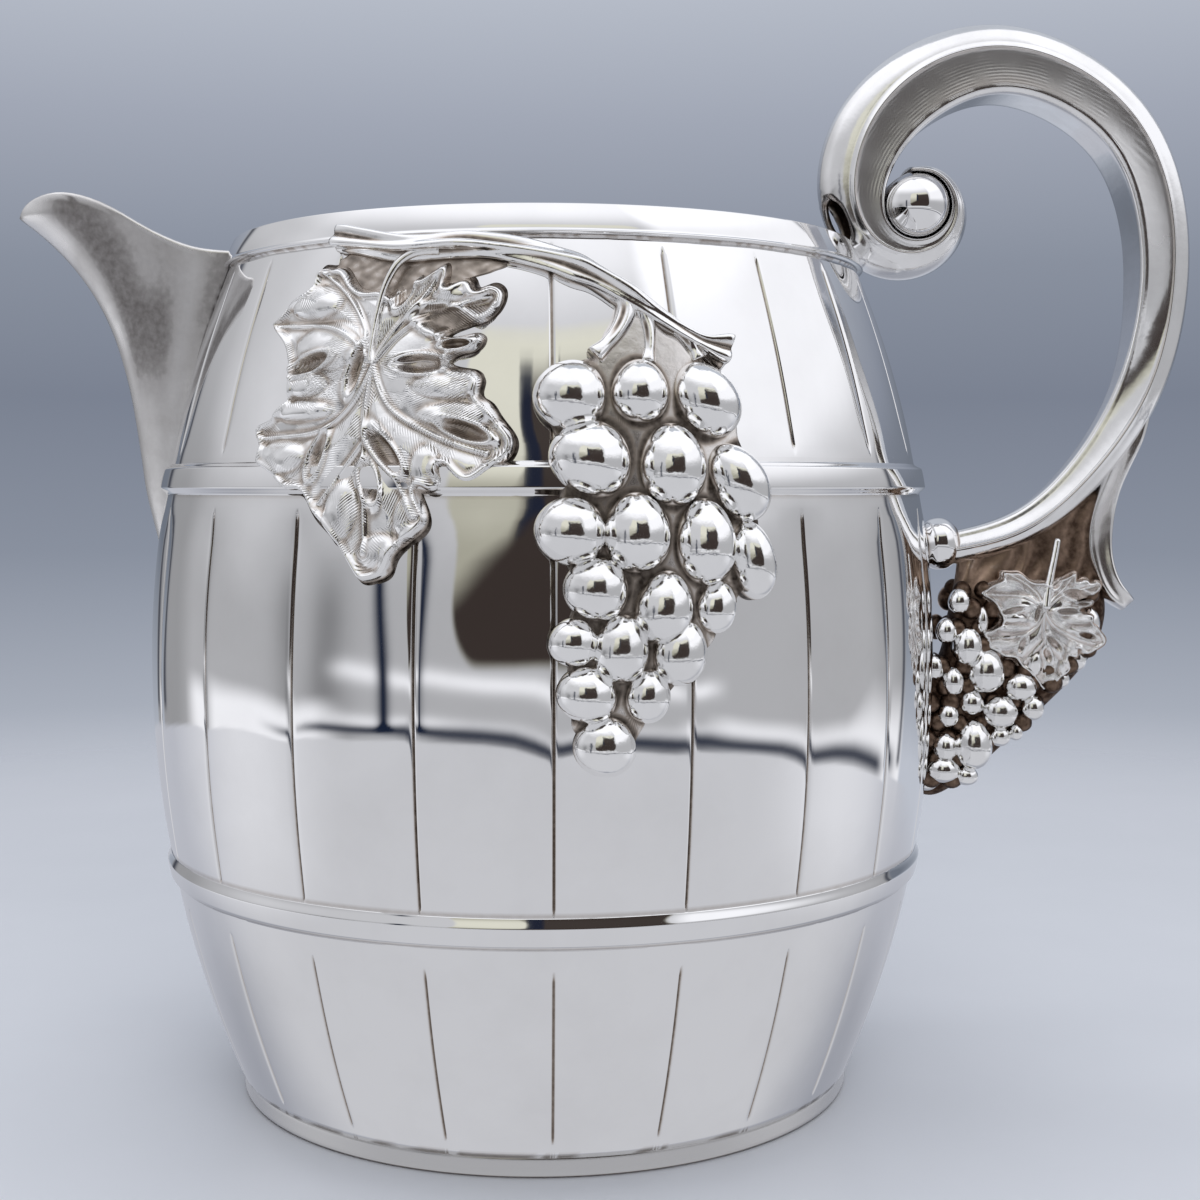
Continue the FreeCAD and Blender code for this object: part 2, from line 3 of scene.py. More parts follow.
import bmesh
import bpy
import numpy as np
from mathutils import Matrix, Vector


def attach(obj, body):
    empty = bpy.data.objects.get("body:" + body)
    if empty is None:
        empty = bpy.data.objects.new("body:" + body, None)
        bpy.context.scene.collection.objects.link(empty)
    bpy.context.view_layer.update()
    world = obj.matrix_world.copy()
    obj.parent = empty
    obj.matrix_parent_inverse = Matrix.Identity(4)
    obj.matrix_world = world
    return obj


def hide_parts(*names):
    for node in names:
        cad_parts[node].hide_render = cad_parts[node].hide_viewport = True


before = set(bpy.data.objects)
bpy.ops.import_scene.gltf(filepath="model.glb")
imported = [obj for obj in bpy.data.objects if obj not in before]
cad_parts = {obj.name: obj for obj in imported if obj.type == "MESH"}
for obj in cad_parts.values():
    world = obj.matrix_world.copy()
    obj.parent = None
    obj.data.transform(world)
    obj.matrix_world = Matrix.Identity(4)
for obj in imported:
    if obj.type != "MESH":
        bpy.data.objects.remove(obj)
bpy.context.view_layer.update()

# Barrel wall: one sheet of silver raised to a barrel, chased with the seams of 21 staves that swell
# a little between them, then polished to a mirror. It is cut out where the spout is soldered over it.
BARREL_HEIGHT = 150.0
BELLY_RADIUS = 70.0
END_RADIUS = 54.0
WALL = 1.0
FOOT_HEIGHT = 3.4
STAVES = 21
FIRST_SEAM = 1.0
SEAM_SPANS = [(5.4, 35.9), (44.0, 103.9), (112.9, 143.7)]
STAVE_SWELL = [(0.06, 0.12), (0.12, 0.56), (0.32, 0.16)]
SEAM_DEPTH = 0.42
SEAM_STRENGTH = [0.9, 1.0, 0.8]
SEAM_SPREAD = 0.24
SPOUT_ANGLE = -90.0
SPOUT_CUT_FOOT = 104.0
SPOUT_CUT_DEG = 11.5
CUT_REACH_DEG = 26.0
BARE_BY_SPOUT_DEG = 14
BAND_JOINTS = (3.4, 38.7, 44.1, 106.0, 111.4, 145.1)
HAMMER_RIPPLES = [(0.024, 11, 0.13, 0.0), (0.018, 29, -0.21, 1.7)]
WALL_ROWS = 78
MERGE_DISTANCE = 3e-6


def wall_radius(z, proud=0.0):
    """Radius of the barrel: an arc through the two ends and the belly, moved outwards by proud."""
    sag = BELLY_RADIUS - END_RADIUS
    arc = ((BARREL_HEIGHT / 2) ** 2 + sag ** 2) / (2 * sag)
    return BELLY_RADIUS - arc + np.sqrt((arc + proud) ** 2 - (z - BARREL_HEIGHT / 2) ** 2)


def on_barrel(angle, z, proud=0.0):
    """Points on the barrel from the angle in degrees from the front towards the handle and the height."""
    angle, z, proud = np.broadcast_arrays(np.radians(angle), z, proud)
    radius = wall_radius(z, proud)
    return np.stack([radius * np.sin(angle), -radius * np.cos(angle), z], -1)


def rise(value, start, end):
    """Smooth step: 0 at start, 1 at end, with level ends."""
    share = np.clip((value - start) / (end - start), 0, 1)
    return share * share * (3 - 2 * share)


def fall(value, start, end):
    """Smooth step the other way: 1 at start, 0 at end."""
    return 1 - rise(value, start, end)


def hump(value, middle, width):
    """Bell of height 1 about the middle: it falls with the square of the distance over the width."""
    return np.exp(-(((value - middle) / width) ** 2))


def make_piece(name, patches):
    """One piece from grids of points in millimetres, each with its stain, its satin and its chased lines.

    A grid of rows by columns gives a quad between each four neighbours. Points that fall together are
    merged, which closes seams and poles, and the faces are then turned outwards.
    """
    points, faces, start = [], [], 0
    marks = {"stain": [], "satin": [], "chasing": []}
    for grid, *levels in patches:
        rows, columns = grid.shape[:2]
        corner = start + np.arange(rows - 1)[:, None] * columns + np.arange(columns - 1)
        quads = np.stack([corner, corner + 1, corner + columns + 1, corner + columns], -1)
        faces.append(quads.reshape(-1, 4))
        points.append(grid.reshape(-1, 3) / 1000)
        for label, level in zip(marks, levels + [0.0] * (3 - len(levels))):
            marks[label].append(np.broadcast_to(level, (rows, columns)).ravel())
        start += rows * columns
    mesh = bpy.data.meshes.new(name)
    mesh.from_pydata(np.concatenate(points), [], np.concatenate(faces).tolist())
    for label, values in marks.items():
        layer = mesh.attributes.new(label, "FLOAT", "POINT")
        layer.data.foreach_set("value", np.concatenate(values).astype(np.float32))
    shell = bmesh.new()
    shell.from_mesh(mesh)
    bmesh.ops.remove_doubles(shell, verts=shell.verts, dist=MERGE_DISTANCE)
    bmesh.ops.recalc_face_normals(shell, faces=shell.faces)
    shell.to_mesh(mesh)
    shell.free()
    mesh.shade_smooth()
    piece = bpy.data.objects.new(name, mesh)
    bpy.context.scene.collection.objects.link(piece)
    return piece


def dress(piece, finish, slot, *cad_names):
    """Gives a piece its finish, sets it on the jug, and lets it stand for its CAD nodes."""
    piece.data.materials.append(finish)
    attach(piece, "root")
    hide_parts(*cad_names)


def node(tree, kind, inputs=None, **settings):
    """Adds a shader node. A socket given for an input is linked to it, and any other value is set."""
    made = tree.nodes.new("ShaderNode" + kind)
    for key, value in settings.items():
        setattr(made, key, value)
    for key, value in (inputs or {}).items():
        if isinstance(value, bpy.types.NodeSocket):
            tree.links.new(value, made.inputs[key])
        else:
            made.inputs[key].default_value = value
    return made


def maths(tree, operation, *values, clamp=False):
    """One step of arithmetic on sockets and numbers."""
    return node(tree, "Math", dict(enumerate(values)), operation=operation, use_clamp=clamp).outputs[0]


def ranged(tree, value, start, end, low=0.0, high=1.0):
    """Straight ramp of a value: low as far as the start, high from the end on."""
    limits = {"From Min": start, "From Max": end, "To Min": low, "To Max": high}
    return node(tree, "MapRange", {"Value": value, **limits}).outputs["Result"]


def noise(tree, place, scale, detail, roughness=0.5):
    """Smooth noise about one half, with scale lumps to the metre."""
    inputs = {"Vector": place, "Scale": scale, "Detail": detail, "Roughness": roughness}
    return node(tree, "TexNoise", inputs).outputs["Fac"]


def tinted(tree, share, first, second):
    """Colour that goes from the first to the second as the share grows."""
    return node(tree, "MixRGB", {"Fac": share, "Color1": first, "Color2": second}).outputs[0]


def shader_group(name, inputs, outputs):
    """An empty node group with the named sockets, and its input sockets and output node.

    The kind of an input follows from its value: one number, a vector of three or a colour of four.
    """
    kinds = {1: "NodeSocketFloat", 3: "NodeSocketVector", 4: "NodeSocketColor"}
    group = bpy.data.node_groups.new(name, "ShaderNodeTree")
    for label, value in inputs.items():
        socket = group.interface.new_socket(label, in_out="INPUT", socket_type=kinds[np.size(value)])
        socket.default_value = value
    for label, kind in outputs.items():
        group.interface.new_socket(label, in_out="OUTPUT", socket_type=kind)
    return group, group.nodes.new("NodeGroupInput").outputs, group.nodes.new("NodeGroupOutput")


CLOUD_SCALE = 55.0
CLOUD_GREY = (0.30, 0.28, 0.26, 1)
CLOUD_DULLS = 0.35
SATIN_GREY = (0.60, 0.595, 0.59, 1)
SATIN_DULLS = 0.22
GRIT_SCALE = 900.0
OXIDE_DULLS = 0.40


def make_tarnish():
    """Tarnish: a thin film and then dark oxide as the stain grows, thin grey cloud by noise, and a duller
    surface on all of them."""
    group, given, result = shader_group("tarnish", {
        "Stain": 0.0, "Satin": 0.0, "Cloud": 0.1, "Polish": 0.06, "Silver": (0.95, 0.95, 0.95, 1),
        "Film": (0.56, 0.42, 0.33, 1), "Oxide": (0.05, 0.03, 0.02, 1),
    }, {"Color": "NodeSocketColor", "Roughness": "NodeSocketFloat"})
    place = node(group, "TexCoord").outputs["Object"]
    patchy = ranged(group, noise(group, place, CLOUD_SCALE, detail=5.0, roughness=0.6), 0.42, 0.72)
    cloud = maths(group, "MULTIPLY", patchy, given["Cloud"])
    broken = ranged(group, noise(group, place, GRIT_SCALE, detail=2.0), 0.3, 0.7, low=0.86, high=1.08)
    oxide = maths(group, "MULTIPLY", given["Stain"], broken, clamp=True)
    colour = tinted(group, cloud, given["Silver"], CLOUD_GREY)
    colour = tinted(group, maths(group, "POWER", given["Satin"], 2.0), colour, SATIN_GREY)
    colour = tinted(group, ranged(group, oxide, 0.0, 0.5), colour, given["Film"])
    colour = tinted(group, ranged(group, oxide, 0.4, 0.95), colour, given["Oxide"])
    rough = maths(group, "MULTIPLY_ADD", cloud, CLOUD_DULLS, given["Polish"])
    rough = maths(group, "MULTIPLY_ADD", given["Satin"], SATIN_DULLS, rough)
    rough = maths(group, "MULTIPLY_ADD", oxide, OXIDE_DULLS, rough)
    group.links.new(colour, result.inputs["Color"])
    group.links.new(rough, result.inputs["Roughness"])
    return group


MARK_SCALE = 400.0
SWELL_SCALE = 45.0
STROKE_BREAK_SCALE = 260.0


def make_tool_marks():
    """Tool marks: height from long thin noise, stretched by Stretch on each axis, a slow swell, and chased
    lines, one for each whole step of Chasing, that come and go with a coarser noise."""
    inputs = {"Stretch": (1, 1, 1), "Marks": 0.5, "Chasing": 0.0, "Cut": 0.35}
    group, given, result = shader_group("tool_marks", inputs, {"Height": "NodeSocketFloat"})
    place = node(group, "TexCoord").outputs["Object"]
    pulled = node(group, "VectorMath", {0: place, 1: given["Stretch"]}, operation="MULTIPLY").outputs[0]
    fine = maths(group, "MULTIPLY", noise(group, pulled, MARK_SCALE, detail=3.0), given["Marks"])
    height = maths(group, "ADD", noise(group, place, SWELL_SCALE, detail=1.0), fine)
    stroke = maths(group, "SINE", maths(group, "MULTIPLY", given["Chasing"], 2 * math.pi))
    come_and_go = ranged(group, noise(group, place, STROKE_BREAK_SCALE, detail=1.0), 0.42, 0.62)
    cut = maths(group, "MULTIPLY", come_and_go, given["Cut"])
    height = maths(group, "MULTIPLY_ADD", stroke, cut, height)
    group.links.new(height, result.inputs["Height"])
    return group


tarnish = make_tarnish()
tool_marks = make_tool_marks()


def fresh_material(name):
    """A new material with nodes, and its tree."""
    material = bpy.data.materials.new(name)
    material.use_nodes = True
    return material, material.node_tree


def silver(name, cloud, polish, tones, stretch, marks, depth, cut=0.35):
    """A silver finish: tarnish sets the colour and the gloss, tool marks bend the reflections.

    The three tones are clean silver, the thin film of tarnish and the thick oxide.
    """
    material, tree = fresh_material(name)
    # The stain and satin attributes are tarnish and finish, but at the foot and under the lower hoop they
    # also hold painted shade.
    stain, satin, chasing = [node(tree, "Attribute", attribute_name=label).outputs["Fac"]
                             for label in ("stain", "satin", "chasing")]
    clean, film, oxide = [(*tone, 1) for tone in tones]
    worn = node(tree, "Group", node_tree=tarnish, inputs={
        "Stain": stain, "Satin": satin, "Cloud": cloud, "Polish": polish,
        "Silver": clean, "Film": film, "Oxide": oxide,
    })
    marked = node(tree, "Group", node_tree=tool_marks, inputs={
        "Stretch": stretch, "Marks": marks, "Chasing": chasing, "Cut": cut,
    })
    bump = node(tree, "Bump", {"Height": marked.outputs["Height"], "Strength": 1.0, "Distance": depth})
    shader = tree.nodes["Principled BSDF"]
    shader.inputs["Metallic"].default_value = 1.0
    tree.links.new(worn.outputs["Color"], shader.inputs["Base Color"])
    tree.links.new(worn.outputs["Roughness"], shader.inputs["Roughness"])
    tree.links.new(bump.outputs["Normal"], shader.inputs["Normal"])
    return material


def stave_share(angle):
    """Place across a stave, 0 at its first seam and 1 at its second, and the degrees to the nearest seam."""
    pitch = 360 / STAVES
    share = ((angle - FIRST_SEAM) / pitch) % 1
    return share, np.minimum(share, 1 - share) * pitch


def spout_cut(z):
    """Half angle of the cut under the spout: nothing below its foot, then growing up to the rim."""
    return SPOUT_CUT_DEG * np.clip((z - SPOUT_CUT_FOOT) / (BARREL_HEIGHT - SPOUT_CUT_FOOT), 0, 1) ** 0.75


def wall_grids():
    """The wall as one outer grid and one inner grid, round from one side of the spout cut to the other.

    The outer surface is the barrel's arc, plus a parabola across each stave that changes with the height,
    less a bell-shaped groove at each seam, and slow ripples from the hammer. Columns crowd at the seams.
    """
    steps = np.array([0, .006, .012, .019, .03, .06, .13, .27, .5, .73, .87, .94, .97, .981, .988, .994])
    around = ((np.arange(STAVES)[:, None] + steps) * 360 / STAVES + FIRST_SEAM - SPOUT_ANGLE) % 360
    around = np.concatenate([[0], np.sort(around.ravel()), [360]])[None, :]
    ends = np.array(SEAM_SPANS).ravel()[:, None] + np.array([-0.9, -0.3, 0.3, 0.9, 1.6])
    z = np.unique(np.concatenate([np.linspace(FOOT_HEIGHT, BARREL_HEIGHT, WALL_ROWS), ends.ravel()]))[:, None]
    from_spout = np.minimum(around, 360 - around)
    pushed = np.where(from_spout < CUT_REACH_DEG, spout_cut(z) * (1 - from_spout / CUT_REACH_DEG), 0)
    angle = around + np.where(around < 180, pushed, -pushed) + SPOUT_ANGLE
    share, apart = stave_share(around + SPOUT_ANGLE)
    apart = np.radians(apart) * wall_radius(z)
    groove, swell = 0, 0
    for (low, high), swells, depth in zip(SEAM_SPANS, STAVE_SWELL, SEAM_STRENGTH):
        clear = from_spout > (BARE_BY_SPOUT_DEG if low > SPOUT_CUT_FOOT else -1)
        inside = rise(z, low, low + 1.2) * fall(z, high - 1.6, high)
        groove = groove + depth * inside * hump(apart, 0, SEAM_SPREAD) * clear
        body = rise(z, low - 1, low + 6) * fall(z, high - 6, high + 1)
        body = body * np.interp(z, (low, high), swells)
        swell = swell + body * (0.4 - (2 * share - 1) ** 2)
    turn = np.radians(angle)
    ripple = sum(high * np.sin(waves * turn + lean * z + start)
                 for high, waves, lean, start in HAMMER_RIPPLES)
    outer = on_barrel(angle, z, swell - SEAM_DEPTH * groove + ripple)
    inner = on_barrel(angle, z, -WALL)
    grime = sum(hump(z, joint, 0.3) for joint in BAND_JOINTS)
    stain = np.maximum(0.95 * groove ** 2, 0.4 * grime)
    return outer, inner, stain, int(np.argmax(z[:, 0] > SPOUT_CUT_FOOT)) - 1


def strip(first, second):
    """A band of quads between two rows of points."""
    return np.stack([first, second])


polished_tones = ((0.935, 0.935, 0.94), (0.42, 0.36, 0.31), (0.045, 0.030, 0.020))
polished = silver("polished_silver", cloud=0.08, polish=0.022, tones=polished_tones, stretch=(1, 1, 0.04),
                  marks=0.03, depth=0.00008)
outer, inner, wall_stain, cut_row = wall_grids()
wall_edges = [strip(outer[row], inner[row]) for row in (0, -1)]
cut_edges = [strip(outer[cut_row:, column], inner[cut_row:, column]) for column in (0, -1)]
wall_patches = [(outer, wall_stain), (inner, 0.12, 0.5)] + [(edge,) for edge in wall_edges + cut_edges]
dress(make_piece("barrel_wall_bright", wall_patches), polished, "polished_silver", "barrel_wall")

# Foot ring and floor: a plain drawn ring with rounded edges is soldered under the wall, and a flat plate is
# let into it from below, so the jug stands on one level face. A painted contact shadow darkens its lower
# edge, grime sits in the joint, and its face is satin whose grey is partly painted shade of the table it
# mirrors.
FOOT_WIDTH = 5.0
FOOT_LEDGE = 0.4
FOOT_ROUNDING = 0.45
# Satin of the foot's face: a duller finish whose grey is partly painted shade, the shadowed table seen in it.
FOOT_SATIN_AND_SHADE = 0.95
FLOOR_THICKNESS = 1.6
FLOOR_CROWN = 0.25
FLOOR_PLAY = 0.05


def turned(profile, first=0.0, last=360.0, count=253):
    """A closed profile of radius and height, turned about the barrel's axis between two angles."""
    loop = np.array(profile + profile[:1])
    turn = np.radians(np.linspace(first, last, count))[None, :]
    radius, z = loop[:, :1], loop[:, 1:]
    return np.stack([radius * np.sin(turn), -radius * np.cos(turn), z + 0 * turn], -1)


foot_outer = float(wall_radius(FOOT_HEIGHT)) - FOOT_LEDGE
foot_inner = foot_outer - FOOT_WIDTH
foot_share = np.sin(np.linspace(-0.5, 0.5, 25) * np.pi)
foot_face = [(foot_outer - FOOT_ROUNDING * share ** 8, FOOT_HEIGHT * (1 + share) / 2) for share in foot_share]
foot_grid = turned([(foot_inner, 0.0)] + foot_face + [(foot_inner, FOOT_HEIGHT)])
foot_z = foot_grid[..., 2]
# Painted contact shadow along the lowest 0.3 mm of the foot, and grime in the joint at its top.
foot_grime_and_painted_shadow = 0.95 * fall(foot_z, 0.02, 0.30) + 0.8 * rise(foot_z, 3.28, FOOT_HEIGHT)
foot = make_piece("foot_ring_bright", [(foot_grid, foot_grime_and_painted_shadow, FOOT_SATIN_AND_SHADE)])
dress(foot, polished, "polished_silver", "foot_ring")

floor_edge = foot_inner - FLOOR_PLAY
spread = np.linspace(0, 1, 24)
floor_up = [(floor_edge * s, FLOOR_THICKNESS + FLOOR_CROWN * (1 - s * s)) for s in spread]
floor_down = [(floor_edge * s, 0.0) for s in spread[::-1]]
floor_plate = make_piece("barrel_floor_bright", [(turned(floor_up + floor_down)[:-1], 0.1, 0.6)])
dress(floor_plate, polished, "polished_silver", "barrel_floor")

# Hoops and rim band: drawn silver strip bent round the barrel and soldered. The lower hoop has a
# chamfer on top, the upper one soft edges, and the rim band leans inwards and stops at the spout.
HOOP_HEIGHT = 5.2
HOOP_CROWN = 0.12
HOOP_SEAT = 0.3
UPPER_HOOP_PROUD = 1.1
LOWER_HOOP_PROUD = 0.75
UPPER_HOOP_Z = 108.7
LOWER_HOOP_Z = 41.4
RIM_RADIUS = 57.2
RIM_HEIGHT = 4.8
RIM_BORE = 52.9
RIM_BEAD = 0.30
RIM_LEAN = 1.65
RING_STEPS = 337
RIM_GAP_DEG = 13.4
HOOP_GAP_DEG = 3.2


def hoop_profile(middle, height, low_edge, high_edge, chamfer):
    """Band on the barrel's arc: its height is a product of two steps, a smooth one at the lower edge and one
    at the upper edge that is a straight slope as far as chamfer says."""
    z = middle + HOOP_HEIGHT * np.linspace(-0.5, 0.5, 41)
    slope = np.clip((z[-1] - z) / high_edge, 0, 1)
    upper = chamfer * slope + (1 - chamfer) * rise(slope, 0, 1)
    proud = rise(z, z[0], z[0] + low_edge) * upper
    crown = HOOP_CROWN * (1 - ((z - middle) / HOOP_HEIGHT * 2) ** 2)
    face = np.stack([wall_radius(z, (height + crown) * proud), z], -1)
    back = np.stack([wall_radius(z[::-8], -HOOP_SEAT), z[::-8]], -1)
    return [tuple(point) for point in np.concatenate([face, back])]


def end_cap(loop):
    """Closes the end of a profile with a fan to its middle."""
    return strip(loop, np.broadcast_to(loop.mean(0), loop.shape))


def ring_patches(profile, gap, stain):
    """A profile turned round the barrel, whole or with a gap at the spout closed by two caps."""
    grid = turned(profile, SPOUT_ANGLE + gap, SPOUT_ANGLE + 360 - gap, RING_STEPS)
    patches = [(grid, stain)]
    if gap:
        patches += [(end_cap(grid[:, end]), 0.3) for end in (0, -1)]
    return patches


def rim_profile():
    """Rim band: a fine bead at the foot, then a face that leans in more and more up to a rounded edge."""
    bottom = BARREL_HEIGHT - RIM_HEIGHT
    up = np.linspace(0, 1, 48)
    out = RIM_BEAD * (hump(up, 0.09, 0.05) - 1) - RIM_LEAN * up ** 1.5
    face = np.stack([RIM_RADIUS + out, bottom + RIM_HEIGHT * up], -1)
    face[0, 0] = wall_radius(bottom) - HOOP_SEAT
    lip = [(RIM_RADIUS - 2.2, BARREL_HEIGHT + 0.08), (RIM_RADIUS - 2.6, BARREL_HEIGHT + 0.12),
           (RIM_RADIUS - 3.2, BARREL_HEIGHT + 0.1)]
    inside = [(RIM_BORE + 0.5, BARREL_HEIGHT + 0.05), (RIM_BORE, BARREL_HEIGHT - 0.5),
              (RIM_BORE, BARREL_HEIGHT - 1.6), (RIM_BORE + 0.7, bottom + 1)]
    return [tuple(point) for point in face] + lip + inside


lower_line = hoop_profile(LOWER_HOOP_Z, LOWER_HOOP_PROUD, low_edge=1.1, high_edge=1.5, chamfer=0.85)
upper_line = hoop_profile(UPPER_HOOP_Z, UPPER_HOOP_PROUD, low_edge=1.3, high_edge=0.9, chamfer=0.0)
rim_line = rim_profile()
lower_heights = np.array(lower_line + lower_line[:1])[:, 1:]
# Painted shade: a dark line along the lower hoop's lower edge, where it slopes back to the wall.
lower_hoop_painted_shade = 0.28 * hump(lower_heights, LOWER_HOOP_Z - HOOP_HEIGHT / 2 + 0.4, 0.3)
rim_stain = 0.5 * (np.arange(len(rim_line) + 1) < 1)[:, None]
# Each band's stain is joint grime, except the lower hoop's, which is painted shade.
for cad_name, line, gap, stain in (
    ("lower_hoop", lower_line, 0.0, lower_hoop_painted_shade), ("upper_hoop", upper_line, HOOP_GAP_DEG, 0.0),
    ("rim_band", rim_line, RIM_GAP_DEG, rim_stain),
):
    band = make_piece(cad_name + "_bright", ring_patches(line, gap, stain))
    dress(band, polished, "polished_silver", cad_name)

# Pouring spout: hammered from its own sheet as an open beak and soldered over the cut in the wall. Its
# cheeks turn darker grey and brown towards the top and along the joint to the wall, and the lip is thick
# and rounded.
SPOUT_FOOT = 92.0
SPOUT_TIP_Z = 155.2
SPOUT_REACH = 94.1
SPOUT_SLOPE = 7.0
SPOUT_TAIL_PROUD = 1.5
SPOUT_HALF_WIDTH = 13.4
SPOUT_TAIL_HALF = 2.2
SPOUT_WALL = 1.2
SPOUT_SEAT = 0.7
TAIL_FADE = 17
MOUTH_FADE = 12
LIP_ROUNDING = 0.6
LIP_KNOTS = [(52.0, 148.2), (57.0, 148.5), (60.5, 149.0), (65.6, 150.7), (70.5, 153.1), (75.5, 156.0),
             (80.5, 158.1), (86.0, 159.1), (90.0, 158.5), (92.8, 157.0), (94.1, 155.2)]


def smooth_curve(knots, count):
    """Natural cubic spline through the knots, with chord length as its parameter, at even steps."""
    knots = np.array(knots, float)
    place = np.concatenate([[0], np.cumsum(np.linalg.norm(np.diff(knots[:, :2], axis=0), axis=1))])
    gap = np.diff(place)
    system = np.eye(len(knots))
    inner_rows = np.arange(1, len(knots) - 1)
    system[inner_rows, inner_rows - 1] = gap[:-1]
    system[inner_rows, inner_rows] = 2 * (gap[:-1] + gap[1:])
    system[inner_rows, inner_rows + 1] = gap[1:]
    slope = np.diff(knots, axis=0) / gap[:, None]
    bend = np.zeros_like(knots)
    bend[1:-1] = 6 * np.diff(slope, axis=0)
    bend = np.linalg.solve(system, bend)
    at = np.linspace(0, place[-1], count)
    k = np.clip(np.searchsorted(place, at, "right") - 1, 0, len(gap) - 1)
    a, b, h = (place[k + 1] - at)[:, None], (at - place[k])[:, None], gap[k][:, None]
    cubic = (bend[k] * (a ** 3 / h - a * h) + bend[k + 1] * (b ** 3 / h - b * h)) / 6
    return cubic + (knots[k] * a + knots[k + 1] * b) / h


def spout_surface(across, z, inset):
    """A level slice of the beak at each height: half ellipse and half parabola from the wall to the keel.

    The keel's reach grows with the fifth power of the height, and inset moves the slice inwards.
    """
    share = np.clip((z - SPOUT_FOOT) / (SPOUT_TIP_Z - SPOUT_FOOT), 0, 1)
    tail = wall_radius(SPOUT_FOOT) + SPOUT_TAIL_PROUD
    keel = tail + SPOUT_SLOPE * share + (SPOUT_REACH - tail - SPOUT_SLOPE) * share ** 5
    keel = keel - SPOUT_TAIL_PROUD * fall(z, SPOUT_FOOT, SPOUT_FOOT + TAIL_FADE) - inset
    half = SPOUT_TAIL_HALF + (SPOUT_HALF_WIDTH - SPOUT_TAIL_HALF) * share ** 0.75 - 0.9 * inset
    root = wall_radius(np.minimum(z, BARREL_HEIGHT)) - SPOUT_SEAT
    if inset:
        keel = root + (keel - root) * rise(z, SPOUT_CUT_FOOT, SPOUT_CUT_FOOT + MOUTH_FADE)
    bow = 0.5 * np.sqrt(np.clip(1 - across ** 2, 0, 1)) + 0.5 * (1 - across ** 2)
    reach = root + (keel - root) * bow
    side = half * across
    return np.stack([-np.sqrt(np.maximum(reach ** 2 - 0.35 * side ** 2, 1)), side, z + 0 * across], -1)


def spout_grid():
    """Rows run up the outside from the tail to the lip, over the rounded lip and down the inside."""
    lip = smooth_curve(LIP_KNOTS, 300)
    across = np.sin(np.linspace(-0.5, 0.5, 61) * np.pi)[None, :]
    top = np.full_like(across, SPOUT_TIP_Z + 0.8)
    for _ in range(12):
        top = 0.5 * top + 0.5 * np.interp(-spout_surface(across, top, 0.0)[..., 0], lip[:, 0], lip[:, 1])
    edge = top - LIP_ROUNDING
    share = np.linspace(0, 1, 56)[:, None] ** 0.8
    outside = spout_surface(across, SPOUT_FOOT + (edge - SPOUT_FOOT) * share, 0.0)
    over = [spout_surface(across, edge + LIP_ROUNDING * np.sin(turn), SPOUT_WALL * (1 - np.cos(turn)) / 2)
            for turn in np.linspace(0.3, np.pi - 0.3, 7)]
    inside = spout_surface(across, SPOUT_CUT_FOOT + (edge - SPOUT_CUT_FOOT) * share, SPOUT_WALL)
    return outside, np.concatenate([outside[-1:]] + over + [inside[-1:]]), inside


worn_tones = ((0.90, 0.89, 0.885), (0.50, 0.485, 0.48), (0.12, 0.105, 0.10))
worn = silver("worn_silver", cloud=0.60, polish=0.18, tones=worn_tones, stretch=(1, 1, 0.3), marks=0.05,
              depth=0.00012)
spout_out, spout_lip, spout_in = spout_grid()
spout_side = np.abs(spout_out[..., 1]) / np.abs(spout_out[:, :1, 1])
spout_z = spout_out[..., 2]
spout_cheek_darkening = 0.70 * rise(spout_side, 0.40, 0.62) * (1 - 0.8 * rise(spout_side, 0.86, 0.96))
spout_cheek_darkening = spout_cheek_darkening * (1 - 0.5 * hump(spout_side, 0.84, 0.07) * rise(spout_z, 138, 145))
spout_cheek_darkening = spout_cheek_darkening * rise(spout_z, 116, 134)
spout_cheek_darkening = spout_cheek_darkening + 0.4 * hump(spout_side, 1.0, 0.03) * rise(spout_z, 122, 140)
half_lip = len(spout_lip) // 2 + 1
cheek_edges = [(strip(spout_out[:, end], spout_in[:, end]), 0.8, 0.5) for end in (0, -1)]
lip_ends = [(strip(spout_lip[:, end], spout_lip[::-1, end])[:, :half_lip], 0.2, 0.2) for end in (0, -1)]
spout = make_piece("pouring_spout_worn", [
    (spout_out, spout_cheek_darkening, 0.25), (spout_lip,), (spout_in, 0.25, 0.6), *cheek_edges, *lip_ends,
    (strip(spout_out[0], spout_in[0]), 0.5, 0.5),
])
dress(spout, worn, "worn_silver", "pouring_spout")

